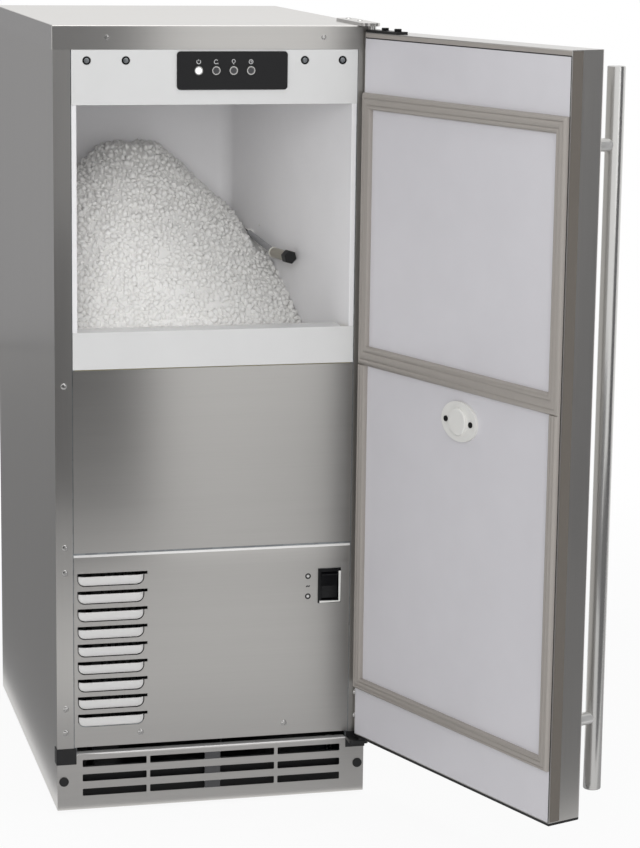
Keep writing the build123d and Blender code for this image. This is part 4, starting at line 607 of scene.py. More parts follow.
def door_point(u, v, z):
    """A place on the door: along it from the hinge, out from the hinge line and up."""
    return Vector((HINGE.x, HINGE.y, z)) + DOOR_ALONG * u + DOOR_OUT * v


def door_span(node):
    """Lowest and highest (u, v, z) of a CAD node on the door."""
    spots = [((v.co - HINGE).dot(DOOR_ALONG), (v.co - HINGE).dot(DOOR_OUT), v.co.z)
             for v in NODES[node].data.vertices]
    return [min(s[i] for s in spots) for i in range(3)], [max(s[i] for s in spots) for i in range(3)]


# Geometry Nodes

def node_group(name, inputs):
    """A Geometry Nodes tree with a geometry input, named inputs and a geometry output."""
    tree = bpy.data.node_groups.new(name, "GeometryNodeTree")
    tree.interface.new_socket("Geometry", in_out="INPUT", socket_type="NodeSocketGeometry")
    sockets = {label: tree.interface.new_socket(label, in_out="INPUT", socket_type=kind)
               for label, kind in inputs.items()}
    tree.interface.new_socket("Geometry", in_out="OUTPUT", socket_type="NodeSocketGeometry")
    return tree, sockets, add(tree, "NodeGroupInput")


def grown(piece, tree, sockets, values):
    """Run a tree on an object and keep what it makes as the object's plain mesh."""
    modifier = piece.modifiers.new(tree.name, "NODES")
    modifier.node_group = tree
    for label, value in values.items():
        modifier[sockets[label].identifier] = value
    made = evaluated(piece)
    piece.modifiers.remove(modifier)
    old = piece.data
    piece.data = made
    made.name = piece.name
    bpy.data.meshes.remove(old)
    return piece


def copies_tree():
    """A tree that sets one turned copy of a shape on every point."""
    tree, sockets, source = node_group("copies_on_points", {
        "Shape": "NodeSocketObject", "Turn": "NodeSocketVector", "Size": "NodeSocketFloat",
        "Material": "NodeSocketMaterial"})
    shape = add(tree, "GeometryNodeObjectInfo", {"Object": source.outputs["Shape"], "As Instance": True})
    turn = add(tree, "FunctionNodeEulerToRotation", {"Euler": source.outputs["Turn"]})
    placed = add(tree, "GeometryNodeInstanceOnPoints", {
        "Points": source.outputs["Geometry"], "Instance": shape.outputs["Geometry"],
        "Rotation": turn.outputs["Rotation"], "Scale": source.outputs["Size"]})
    real = add(tree, "GeometryNodeRealizeInstances", {"Geometry": placed.outputs["Instances"]})
    painted = add(tree, "GeometryNodeSetMaterial",
                  {"Geometry": real.outputs["Geometry"], "Material": source.outputs["Material"]})
    add(tree, "NodeGroupOutput", {"Geometry": painted.outputs["Geometry"]})
    return tree, sockets


def copies(name, shape, spots, turn, material, size=1.0):
    """One mesh of a shape repeated at some places, all turned alike."""
    mesh = bpy.data.meshes.new(name)
    mesh.from_pydata([tuple(s) for s in spots], [], [])
    tree, sockets = copies_tree()
    piece = grown(link(name, mesh), tree, sockets,
                  {"Shape": shape, "Turn": tuple(turn), "Size": size, "Material": look(material)})
    bpy.data.node_groups.remove(tree)
    return piece


def cross_head(name, radius, rise, slot):
    """A pan head with a cross recess, on +Z, with its seat at the origin."""
    steps = [(rise * math.sin(a), radius * math.cos(a)) for a in (0.25, 0.6, 0.95, 1.25)]
    dome = [(0, 0), (0, radius * 0.97), (rise * 0.12, radius)] + steps + [(rise, 0)]
    head = link(name, Shape().add(revolve(dome, (0, 0, 0), (0, 0, 1), 28)).mesh(name, []))
    cutter = Shape()
    for along, across in ((slot, slot * 0.3), (slot * 0.3, slot)):
        low, high = rise * 0.35, rise * 1.5
        corners = [(x * along * f, y * across * f, z) for z, f in ((low, 0.7), (high, 1.15))
                   for x, y in ((-1, -1), (1, -1), (1, 1), (-1, 1))]
        sides = [[i, (i + 1) % 4, 4 + (i + 1) % 4, 4 + i] for i in range(4)]
        cutter.add((corners, [[3, 2, 1, 0], [4, 5, 6, 7]] + sides))
    tool = link(name + "_cross", cutter.mesh(name + "_cross", []))
    cut = head.modifiers.new("cross", "BOOLEAN")
    cut.object = tool
    cut.operation = "DIFFERENCE"
    cut.solver = "EXACT"
    cut.use_self = True
    made = evaluated(head)
    head.modifiers.remove(cut)
    head.data = made
    bpy.data.objects.remove(tool)
    smooth(made, 40)
    return head


def joined(name, pieces):
    """Several objects made into one mesh object, materials kept."""
    shell = bmesh.new()
    materials = []
    for piece in pieces:
        lookup = []
        for material in piece.data.materials:
            if material not in materials:
                materials.append(material)
            lookup.append(materials.index(material))
        count = len(shell.faces)
        shell.from_mesh(piece.data)
        shell.faces.ensure_lookup_table()
        for face in shell.faces[count:]:
            face.material_index = lookup[face.material_index] if lookup else 0
    mesh = bpy.data.meshes.new(name)
    shell.to_mesh(mesh)
    shell.free()
    for material in materials:
        mesh.materials.append(material)
    for piece in pieces:
        bpy.data.objects.remove(piece)
    return link(name, mesh)


# The turn that points a shape's +Z to the front, and short names of the commonest looks.
TO_FRONT = (math.radians(90), 0, 0)
LEVEL = "stainless_brushed_level"
UPRIGHT = "stainless_brushed_upright"
HIGHLIGHT = "stainless_pressed_bright"
WHITE = "abs_white_gloss"
BLACK = "abs_black_textured"


class CaseSheets(bpy.types.Operator):
    """Folded sheet of the case: cover, sides, back, base and the plain middle panel"""

    bl_idname = "icemaker.case_sheets"
    bl_label = "Case Sheets"

    def execute(self, context):
        edge = settings().edges.sheet
        eased("top_cover", edge, [LEVEL])
        eased("left_side_panel", edge, [UPRIGHT])
        eased("right_side_panel", edge, [UPRIGHT])
        eased("middle_panel", edge, [LEVEL])
        eased("rear_panel", edge, ["steel_galvanised"])
        eased("base_pan", edge, ["steel_black_painted"])
        return {"FINISHED"}


class ServicePanel(bpy.types.Operator):
    """Lower front panel: folded top edge, a column of pressed louvres, the switch opening and its marks"""

    bl_idname = "icemaker.service_panel"
    bl_label = "Service Panel"

    SHEET = 0.9 * MM
    FOLD = 3.8 * MM
    FOLD_STEPS = 5
    # Each hood is drawn a little below the sheet's face, inside a narrow crease.
    CREASE = 0.9 * MM
    # How far the switch's frame covers the edge of its opening.
    SWITCH_RIM = 2 * MM
    # Length over which a hood rises at each end, and the powers that shape its slope.
    RAMP = 6 * MM
    DOWN_CURVE, END_CURVE = 0.75, 0.6
    # The printed signs: their place left of the switch, and the two rings above and below its middle.
    MARKS_LEFT = 25.2 * MM
    RING_RISE = 11.9 * MM
    RING_RADIUS, RING_LINE = 2.6 * MM, 1.6 * MM
    INK = 0.06 * MM

    def execute(self, context):
        louvres = settings().louvres
        low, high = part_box("service_panel")
        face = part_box("middle_panel")[0].y
        start = Vector((low.x + louvres.side, face, high.z - louvres.drop))
        panel = self.sheet(low, high, face, start, louvres)
        hood = self.hood(louvres, face - low.y)
        tree, sockets = self.tree()
        grown(panel, tree, sockets, {"Shape": hood, "Start": tuple(start), "Count": louvres.count,
                                     "Pitch": louvres.pitch, "Pressed": look(HIGHLIGHT)})
        bpy.data.objects.remove(hood)
        smooth(panel.data, 32)
        stand_for(panel, "service_panel")
        self.marks(face)
        return {"FINISHED"}

    def opening(self, start, louvres, drop):
        """Outline of one louvre's slit and of the crease round its hood."""
        left = start.x + self.CREASE
        right = start.x + self.CREASE + louvres.hood
        top = start.z - drop
        knee = top - louvres.rise + louvres.corner
        radius = louvres.corner + self.CREASE
        foot = arc((right - louvres.corner, knee), radius, 0, -90, 6)
        heel = arc((left + louvres.corner, knee), radius, -90, -180, 6)
        ends = [(start.x, top + louvres.gap), (start.x + louvres.slit, top + louvres.gap),
                (start.x + louvres.slit, top), (right + self.CREASE, top)]
        return ends + foot + heel

    def sheet(self, low, high, face, start, louvres):
        """The flat sheet with its openings, and the fold along its top edge."""
        crown = high.z - self.FOLD
        first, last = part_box("switch_housing")
        rim = self.SWITCH_RIM
        loops = [[(low.x, low.z), (high.x, low.z), (high.x, crown), (low.x, crown)],
                 [(first.x + rim, first.z + rim), (last.x - rim, first.z + rim),
                  (last.x - rim, last.z - rim), (first.x + rim, last.z - rim)]]
        loops += [self.opening(start, louvres, k * louvres.pitch) for k in range(louvres.count)]
        shell = bmesh.new()
        edges = []
        for loop in loops:
            points = [shell.verts.new((x, face, z)) for x, z in loop]
            edges += [shell.edges.new(pair) for pair in zip(points, points[1:] + points[:1])]
        bmesh.ops.triangle_fill(shell, edges=edges, use_beauty=True)
        edge = [e for e in shell.edges if all(abs(v.co.z - crown) < 1e-7 for v in e.verts)]
        for k in range(1, self.FOLD_STEPS + 1):
            turn = math.radians(90 / self.FOLD_STEPS * k)
            grown_on = bmesh.ops.extrude_edge_only(shell, edges=edge)["geom"]
            points = [g for g in grown_on if isinstance(g, bmesh.types.BMVert)]
            for point in points:
                point.co.y = face + self.FOLD * (1 - math.cos(turn))
                point.co.z = crown + self.FOLD * math.sin(turn)
            lines = [g for g in grown_on if isinstance(g, bmesh.types.BMEdge)]
            edge = [g for g in lines if all(v in points for v in g.verts)]
        # The fold takes the paler steel: a painted highlight along the panel's top edge.
        for flap in shell.faces:
            flap.material_index = int(flap.calc_center_median().z > crown)
        bmesh.ops.recalc_face_normals(shell, faces=shell.faces)
        shell.faces.ensure_lookup_table()
        if shell.faces[0].normal.y > 0:
            bmesh.ops.reverse_faces(shell, faces=shell.faces)
        return self.thick("service_sheet", shell)

    def hood(self, louvres, proud):
        """One hood on the origin, open along its top edge: its height fades to its foot and to its ends."""
        columns, rows = 30, 10
        shell = bmesh.new()
        grid = []
        for j in range(rows + 1):
            drop = louvres.rise * j / rows
            past = max(0.0, drop - louvres.rise + louvres.corner)
            inset = louvres.corner - math.sqrt(max(0.0, louvres.corner ** 2 - past ** 2))
            span = louvres.hood - 2 * inset
            line = []
            for i in range(columns + 1):
                along = span * (0.5 - 0.5 * math.cos(math.pi * i / columns))
                end = min(1.0, min(along, span - along) / self.RAMP)
                height = (proud + self.CREASE) * (1 - j / rows) ** self.DOWN_CURVE * end ** self.END_CURVE
                line.append(shell.verts.new((self.CREASE + inset + along, self.CREASE - height, -drop)))
            grid.append(line)
        for upper, lower in zip(grid, grid[1:]):
            for i in range(columns):
                shell.faces.new((upper[i], lower[i], lower[i + 1], upper[i + 1]))
        return self.thick("louvre_hood", shell)

    def thick(self, name, shell):
        """A sheet facing the front, made as thick as the steel."""
        mesh = bpy.data.meshes.new(name + "_skin")
        shell.to_mesh(mesh)
        shell.free()
        piece = link(name, mesh)
        wall = piece.modifiers.new("wall", "SOLIDIFY")
        wall.thickness = self.SHEET
        wall.offset = -1
        made = evaluated(piece)
        piece.modifiers.remove(wall)
        piece.data = made
        bpy.data.meshes.remove(mesh)
        for material in (LEVEL, HIGHLIGHT):
            made.materials.append(look(material))
        return piece

    def tree(self):
        """A column of hoods down from a start, joined to the sheet."""
        tree, sockets, source = node_group("louvre_column", {
            "Shape": "NodeSocketObject", "Start": "NodeSocketVector", "Count": "NodeSocketInt",
            "Pitch": "NodeSocketFloat", "Pressed": "NodeSocketMaterial"})
        shape = add(tree, "GeometryNodeObjectInfo", {"Object": source.outputs["Shape"], "As Instance": True})
        down = add(tree, "ShaderNodeMath", {0: source.outputs["Pitch"], 1: -1.0}, operation="MULTIPLY")
        step = add(tree, "ShaderNodeCombineXYZ", {"Z": down.outputs["Value"]})
        line = add(tree, "GeometryNodeMeshLine", {
            "Count": source.outputs["Count"], "Start Location": source.outputs["Start"],
            "Offset": step.outputs["Vector"]}, mode="OFFSET")
        hoods = add(tree, "GeometryNodeInstanceOnPoints",
                    {"Points": line.outputs["Mesh"], "Instance": shape.outputs["Geometry"]})
        real = add(tree, "GeometryNodeRealizeInstances", {"Geometry": hoods.outputs["Instances"]})
        # The hoods take the paler steel: painted highlight.
        pressed = add(tree, "GeometryNodeSetMaterial",
                      {"Geometry": real.outputs["Geometry"], "Material": source.outputs["Pressed"]})
        both = add(tree, "GeometryNodeJoinGeometry", {0: pressed.outputs["Geometry"]})
        tree.links.new(source.outputs["Geometry"], both.inputs[0])
        add(tree, "NodeGroupOutput", {"Geometry": both.outputs["Geometry"]})
        return tree, sockets

    def marks(self, face):
        """Printed signs beside the switch: a ring above and below, and two short strokes between."""
        low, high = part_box("switch_housing")
        x, z = (low.x + high.x) / 2 - self.MARKS_LEFT, (low.z + high.z) / 2
        ring = arc((0, 0), self.RING_RADIUS, 0, 348, 29)
        ink = Shape()
        for way in (1, -1):
            def front(a, b, height, z=z + way * self.RING_RISE):
                return (x + a, face - height, z + b)

            def between(a, b, height):
                return (x + 2 * a, face - height, z + b)

            ink.add(stroke(ring, self.RING_LINE, self.INK, front, True), 0)
            ink.add(stroke([(-1.2 * MM, 0), (1.2 * MM, 0)], 2.2 * MM, 0.04 * MM, front), 1)
            tick = [(way * 0.6 * MM - 0.3 * MM, -0.9 * MM), (way * 0.6 * MM + 0.3 * MM, 0.9 * MM)]
            ink.add(stroke(tick, 0.9 * MM, self.INK, between), 0)
        piece = ink.build("switch_marks", ["ink_black_printed", "ink_white_printed"])
        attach(piece, "cabinet")


class KickPlate(bpy.types.Operator):
    """Slotted plate at the floor, its plugs and the blocks above its ends"""

    bl_idname = "icemaker.kick_plate"
    bl_label = "Kick Plate"

    ROLL = 3 * MM
    # Heights of the three rows of slots, and the size of the web between the middle slots.
    ROWS = (24 * MM, 41.2 * MM, 58.4 * MM)
    WEB_HALF, WEB_HIGH = 9 * MM, 8.5 * MM

    def execute(self, context):
        edges = settings().edges
        low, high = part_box("kick_grille")
        crown, front = high.z, low.y
        near = 0.01 * MM

        def top_edge(edge):
            return all(abs(v.co.z - crown) < near and abs(v.co.y - front) < near for v in edge.verts)

        plate = eased("kick_grille", edges.sheet, [LEVEL, HIGHLIGHT], rolled=top_edge, radius=self.ROLL)
        # Up-facing faces of the rolled top edge take the paler steel: painted highlight.
        for face in plate.data.polygons:
            face.material_index = int(face.center.z > crown - self.ROLL and face.normal.z > 0.2)
        eased("corner_cap", edges.moulded, [BLACK])
        eased("lower_hinge_bracket", edges.sheet, ["steel_black_painted"])
        eased("kick_plugs", edges.sheet, [BLACK])
        self.web(front)
        return {"FINISHED"}

    def web(self, front):
        """Grey on the web between the two middle slots of each row: painted shade, a post in shade behind one
        long slot.
        """
        body = Shape()
        for z in self.ROWS:
            path = [(-self.WEB_HALF, z), (self.WEB_HALF, z)]
            body.add(stroke(path, self.WEB_HIGH, 0.04 * MM, lambda a, b, lift: (a, front - lift, b)))
        go_with(body.build("grille_web", ["steel_grey_primed"]), "kick_grille")


class Fasteners(bpy.types.Operator):
    """Cross-head screws of the case, the fascia and the door"""

    bl_idname = "icemaker.fasteners"
    bl_label = "Fasteners"

    # Half lengths of the cross recesses in the two kinds of head.
    CASE_CROSS, FASCIA_CROSS = 2.2 * MM, 1.7 * MM
    # The fascia's screws: depth of the washer's seat, the washer's thickness, and the head's height.
    SEAT, WASHER, RISE = 1.6 * MM, 0.7 * MM, 0.9 * MM
    # Share of the washer's width that the head takes.
    HEAD_SHARE = 0.62

    def execute(self, context):
        self.case_screws()
        self.fascia_screws()
        eased("door_screws", settings().edges.sheet, ["steel_black_oxide"])
        return {"FINISHED"}

    def case_screws(self):
        """Pan heads on the front, and on the hinge plate facing up."""
        front, up = [], []
        for low, high in islands("case_screws"):
            middle = (low + high) / 2
            if high.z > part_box("top_cover")[1].z:
                up.append((low, high, middle))
            else:
                front.append((low, high, middle))
        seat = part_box("middle_panel")[0].y
        low, high, middle = front[0]
        head = cross_head("pan_head", (high.x - low.x) / 2, seat - low.y, self.CASE_CROSS)
        spots = [(m.x, seat, m.z) for _, _, m in front]
        pieces = [copies("front_screws", head, spots, TO_FRONT, "stainless_turned")]
        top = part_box("hinge_plate")[1].z
        pieces.append(copies("plate_screws", head, [(m.x, m.y, top) for _, _, m in up], (0, 0, 0),
                             "stainless_turned", (up[0][1].z - top) / (seat - low.y)))
        bpy.data.objects.remove(head)
        stand_for(joined("case_screw_heads", pieces), "case_screws")

    def fascia_screws(self):
        """Zinc screws, each on a dark washer sunk in the white fascia; its black is also painted shade of the
        recess.
        """
        found = islands("fascia_screws")
        low, high = found[0]
        radius = (high.x - low.x) / 2
        rim = [(0, 0), (0, radius), (0.4 * MM, radius), (self.WASHER, radius * 0.9), (self.WASHER, 0)]
        washer = link("washer", Shape().add(revolve(rim, (0, 0, 0), (0, 0, 1), 28)).mesh("washer", []))
        head = cross_head("sunk_head", radius * self.HEAD_SHARE, self.RISE, self.FASCIA_CROSS)
        seats = [((low.x + high.x) / 2, low.y + self.SEAT, (low.z + high.z) / 2) for low, high in found]
        tops = [(x, y - self.WASHER, z) for x, y, z in seats]
        pieces = [copies("fascia_washers", washer, seats, TO_FRONT, "steel_black_oxide"),
                  copies("fascia_heads", head, tops, TO_FRONT, "steel_galvanised")]
        for shape in (washer, head):
            bpy.data.objects.remove(shape)
        stand_for(joined("fascia_screw_heads", pieces), "fascia_screws")


class Controls(bpy.types.Operator):
    """White fascia, glossy control panel, its ring buttons and their printed signs"""

    bl_idname = "icemaker.controls"
    bl_label = "Controls"

    # The printed signs: half width, line width, thickness of the ink and height over the button.
    SIGN, LINE, INK, SIGN_RISE = 2.2 * MM, 0.55 * MM, 0.06 * MM, 4.6 * MM

    def execute(self, context):
        edges = settings().edges
        eased("fascia", edges.moulded, [WHITE])
        eased("control_panel", edges.sheet, ["acrylic_black_gloss"])
        names = ["power_button", "clean_button", "light_button", "delay_button"]
        for name in names:
            self.button(name, name == names[0])
        self.signs([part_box(name) for name in names])
        return {"FINISHED"}

    def button(self, name, lit):
        """A bright ring round a lens with a shallow dish."""
        low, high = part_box(name)
        radius = (high.x - low.x) / 2
        depth = high.y - low.y
        base = ((low.x + high.x) / 2, high.y, (low.z + high.z) / 2)
        body = Shape()
        ring = [(0, 0), (0, radius), (depth * 0.85, radius), (depth * 0.97, radius * 0.94),
                (depth, radius * 0.86), (depth * 0.97, radius * 0.76), (depth * 0.84, radius * 0.7),
                (depth * 0.84, 0)]
        lens = [(depth * 0.8, 0), (depth * 0.8, radius * 0.69), (depth * 0.87, radius * 0.66),
                (depth * 0.9, radius * 0.4), (depth * 0.91, 0)]
        body.add(revolve(ring, base, (0, -1, 0), 40), 0)
        body.add(revolve(lens, base, (0, -1, 0), 40), 1)
        lens_look = "lens_lit" if lit else "lens_smoked"
        stand_for(body.build(name + "_ring", ["ring_chromed_plastic", lens_look], 40), name)

    def signs(self, boxes):
        """Generic signs above the buttons: power, clean cycle, lamp and delay clock."""
        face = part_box("control_panel")[0].y
        r = self.SIGN
        # Each sign is a round outline, closed or open, and straight lines.
        signs = (
            (arc((0, 0), r, 130, 410), False, [[(0, 0.4 * r), (0, 1.25 * r)]]),
            (arc((0, 0), r, 40, 320), False,
             [[(0.35 * r, -0.75 * r), (0.85 * r, -0.62 * r), (0.95 * r, -1.15 * r)]]),
            (arc((0, 0.3 * r), 0.8 * r, -60, 240), False,
             [[(-0.35 * r, -0.7 * r), (0.35 * r, -0.7 * r)], [(-0.3 * r, -1.05 * r), (0.3 * r, -1.05 * r)]]),
            (arc((0, 0), r, 0, 345, 22), True, [[(0, 0.6 * r), (0, 0), (0.45 * r, -0.2 * r)]]),
        )
        shape = Shape()
        for (low, high), (outline, closed, lines) in zip(boxes, signs):
            x, z = (low.x + high.x) / 2, high.z + self.SIGN_RISE

            def front(a, b, height, x=x, z=z):
                return (x + a, face - height, z + b)

            shape.add(stroke(outline, self.LINE, self.INK, front, closed))
            for path in lines:
                shape.add(stroke(path, self.LINE, self.INK, front))
        piece = shape.build("control_signs", ["ink_white_printed"])
        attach(piece, "cabinet")


class PowerSwitch(bpy.types.Operator):
    """Rocker switch in its black frame, with a pale edge to the right and below: a painted highlight"""

    bl_idname = "icemaker.power_switch"
    bl_label = "Power Switch"

    def execute(self, context):
        edges = settings().edges
        eased("switch_housing", edges.moulded, ["acrylic_black_gloss"])
        eased("power_rocker", edges.moulded, ["acrylic_black_gloss"])
        self.trim()
        return {"FINISHED"}

    def trim(self):
        """The pale edge on the frame's face: painted highlight where the frame's inner walls catch the light.
        """
        low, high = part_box("switch_housing")
        wide = 2.6 * MM
        inset = wide / 2 + 0.4 * MM
        right, foot = high.x - inset, low.z + inset
        path = [(right, high.z - 2 * inset), (right, foot), (low.x + inset, foot)]
        body = Shape().add(stroke(path, wide, 0.05 * MM, lambda a, b, lift: (a, low.y - lift, b)))
        go_with(body.build("switch_trim", ["abs_boss_satin"]), "switch_housing")


class Bin(bpy.types.Operator):
    """White liner of the ice bin and its front sill"""

    bl_idname = "icemaker.bin"
    bl_label = "Bin"

    def execute(self, context):
        edges = settings().edges
        eased("bin_liner", edges.moulded, ["polystyrene_bin_formed"])
        eased("bin_sill", edges.heavy, [WHITE])
        return {"FINISHED"}


class Sensor(bpy.types.Operator):
    """Bin sensor: a thin capillary, a grey tube, a pale collar on a tan barrel and a black hexagonal cap"""

    bl_idname = "icemaker.sensor"
    bl_label = "Sensor"

    # Radius of the barrel, length of the cap, and length of the grey tube behind the barrel.
    SLEEVE = 6 * MM
    CAP = 12 * MM
    GREY = 76 * MM

    def execute(self, context):
        points = [v.co for v in NODES["sensor_tube"].data.vertices]
        low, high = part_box("sensor_cap")
        centre = (low + high) / 2
        back = max(p.y for p in points)
        tail = [p for p in points if back - p.y < 1 * MM]
        way = centre - sum(tail, Vector()) / len(tail)
        way = Vector((way.x, way.y, 0)).normalized()
        radius = (high.z - low.z) / 2
        self.cap(centre, way, radius)
        self.tube(points, centre, way)
        return {"FINISHED"}

    def cap(self, centre, way, radius):
        """The hexagonal cap with eased ends, on the end of the barrel."""
        half = max((v.co - centre).dot(way) for v in NODES["sensor_cap"].data.vertices)
        ease = 1.2 * MM
        rear, flat = half - self.CAP, radius * 0.9
        outline = [(rear, 0), (rear, flat - ease), (rear + ease, flat), (half - ease, flat),
                   (half, flat - ease), (half, 0)]
        barrel = [(-half, 0), (-half, self.SLEEVE), (rear + ease, self.SLEEVE), (rear + ease, 0)]
        body = Shape().add(revolve(outline, centre, way, 6), 0)
        body.add(revolve(barrel, centre, way, 32), 1)
        stand_for(body.build("sensor_cap_shell", [BLACK, "barrel_nylon_tan"], 25), "sensor_cap")

    def tube(self, points, centre, way):
        """The tubes as the CAD has them, each stretch in its own finish, and a collar behind the barrel."""
        sleeve = self.SLEEVE
        barrel = [p for p in points if abs((p - centre).cross(way).length - sleeve) < 0.05 * MM]
        rear = min((p - centre).dot(way) for p in barrel)
        piece = eased("sensor_tube", settings().edges.sheet, ["tube_vinyl_grey", "barrel_nylon_tan", BLACK],
                      name="sensor_tubes")
        for face in piece.data.polygons:
            along = (face.center - centre).dot(way)
            if along > rear - 0.1 * MM:
                face.material_index = 1
            elif along < rear - self.GREY:
                face.material_index = 2
        collar = [(rear - 1.5 * MM, 0), (rear - 1.5 * MM, sleeve * 0.9), (rear - 1 * MM, sleeve * 1.08),
                  (rear + 1.8 * MM, sleeve * 1.08), (rear + 2.2 * MM, sleeve * 0.98), (rear + 2.2 * MM, 0)]
        body = Shape().add(revolve(collar, centre, way, 32))
        go_with(body.build("sensor_collar", ["collar_nylon_natural"], 30), "sensor_tube")


class IceHeap(bpy.types.Operator):
    """Heap of loose nuggets in the bin"""

    bl_idname = "icemaker.ice_heap"
    bl_label = "Ice Heap"

    KINDS = 4
    # A nugget's length, width and height beside its mean, and how far each of its points strays.
    STRETCH = (1.3, 0.95, 0.78)
    LUMPS = (0.72, 1.15)
    # Smallest and largest nugget beside the mean one.
    VARY = (0.65, 1.3)
    # Most nuggets on a square metre, far more than the spacing lets through.
    DENSITY = 120000.0
    # Only faces that look up this much carry nuggets, and they keep this far from the walls.
    UPWARD = 0.2
    WALL_GAP = 3.5 * MM

    def execute(self, context):
        ice = settings().ice
        nuggets = [self.nugget(k, ice.seed + k) for k in range(self.KINDS)]
        surface = self.surface()
        tree, sockets = self.tree(nuggets)
        layer = grown(surface, tree, sockets, {
            "Spacing": ice.spacing, "Size": ice.nugget, "Seed": ice.seed, "Clear": ice.clear,
            "Sensor": NODES["sensor_tube"], "Material": look("ice_nugget_frozen")})
        base = merged("ice_charge")
        mesh = bpy.data.meshes.new("heap_core")
        base.to_mesh(mesh)
        base.free()
        mesh.materials.clear()
        mesh.materials.append(look("ice_nugget_frozen"))
        smooth(mesh, 40)
        for piece in nuggets:
            bpy.data.objects.remove(piece)
        stand_for(joined("ice_heap", [link("heap_core", mesh), layer]), "ice_charge")
        return {"FINISHED"}

    def nugget(self, index, seed):
        """One lumpy nugget about one unit in half width."""
        draw = random.Random(seed)
        shell = bmesh.new()
        bmesh.ops.create_icosphere(shell, subdivisions=1, radius=1)
        for point in shell.verts:
            size = draw.uniform(*self.LUMPS)
            point.co = [place * size * stretch for place, stretch in zip(point.co, self.STRETCH)]
        mesh = bpy.data.meshes.new(f"nugget_{index}")
        shell.to_mesh(mesh)
        shell.free()
        mesh.materials.append(look("ice_nugget_frozen"))
        smooth(mesh, 75)
        return link(mesh.name, mesh)

    def surface(self):
        """The heap's upper side, drawn in from the walls."""
        shell = merged("ice_charge")
        for face in [f for f in shell.faces if f.normal.z < self.UPWARD]:
            shell.faces.remove(face)
        bmesh.ops.inset_region(shell, faces=shell.faces, thickness=self.WALL_GAP, use_boundary=True,
                               use_even_offset=True)
        mesh = bpy.data.meshes.new("ice_layer")
        shell.to_mesh(mesh)
        shell.free()
        return link("ice_layer", mesh)

    def tree(self, nuggets):
        """Scatter: spaced points on the surface, one of the nuggets on each, turned and sized at random."""
        tree, sockets, source = node_group("nugget_scatter", {
            "Spacing": "NodeSocketFloat", "Size": "NodeSocketFloat", "Seed": "NodeSocketInt",
            "Clear": "NodeSocketFloat", "Sensor": "NodeSocketObject", "Material": "NodeSocketMaterial"})
        spread = add(tree, "GeometryNodeDistributePointsOnFaces", {
            "Mesh": source.outputs["Geometry"], "Distance Min": source.outputs["Spacing"],
            "Density Max": self.DENSITY, "Seed": source.outputs["Seed"]}, distribute_method="POISSON")
        sensor = add(tree, "GeometryNodeObjectInfo", {"Object": source.outputs["Sensor"]})
        reach = add(tree, "GeometryNodeProximity", {0: sensor.outputs["Geometry"]}, target_element="FACES")
        near = add(tree, "FunctionNodeCompare", {0: reach.outputs["Distance"], 1: source.outputs["Clear"]},
                   data_type="FLOAT", operation="LESS_THAN")
        points = add(tree, "GeometryNodeDeleteGeometry",
                     {"Geometry": spread.outputs["Points"], "Selection": near.outputs["Result"]},
                     domain="POINT")
        kinds = add(tree, "GeometryNodeJoinGeometry")
        for piece in reversed(nuggets):
            info = add(tree, "GeometryNodeObjectInfo", {"Object": piece, "As Instance": True})
            tree.links.new(info.outputs["Geometry"], kinds.inputs[0])
        pick = add(tree, "FunctionNodeRandomValue", {"Min": 0, "Max": len(nuggets) - 1,
                                                     "Seed": source.outputs["Seed"]}, data_type="INT")
        turn = add(tree, "FunctionNodeRandomValue",
                   {"Max": (6.28, 6.28, 6.28), "Seed": source.outputs["Seed"]}, data_type="FLOAT_VECTOR")
        spin = add(tree, "FunctionNodeEulerToRotation", {"Euler": turn.outputs["Value"]})
        least, most = self.VARY
        vary = add(tree, "FunctionNodeRandomValue",
                   {"Min": least, "Max": most, "Seed": source.outputs["Seed"]}, data_type="FLOAT")
        size = add(tree, "ShaderNodeMath", {0: vary.outputs["Value"], 1: source.outputs["Size"]},
                   operation="MULTIPLY")
        lumps = add(tree, "GeometryNodeInstanceOnPoints", {
            "Points": points.outputs["Geometry"], "Instance": kinds.outputs["Geometry"],
            "Pick Instance": True, "Instance Index": pick.outputs["Value"],
            "Rotation": spin.outputs["Rotation"], "Scale": size.outputs["Value"]})
        real = add(tree, "GeometryNodeRealizeInstances", {"Geometry": lumps.outputs["Instances"]})
        painted = add(tree, "GeometryNodeSetMaterial",
                      {"Geometry": real.outputs["Geometry"], "Material": source.outputs["Material"]})
        add(tree, "NodeGroupOutput", {"Geometry": painted.outputs["Geometry"]})
        return tree, sockets


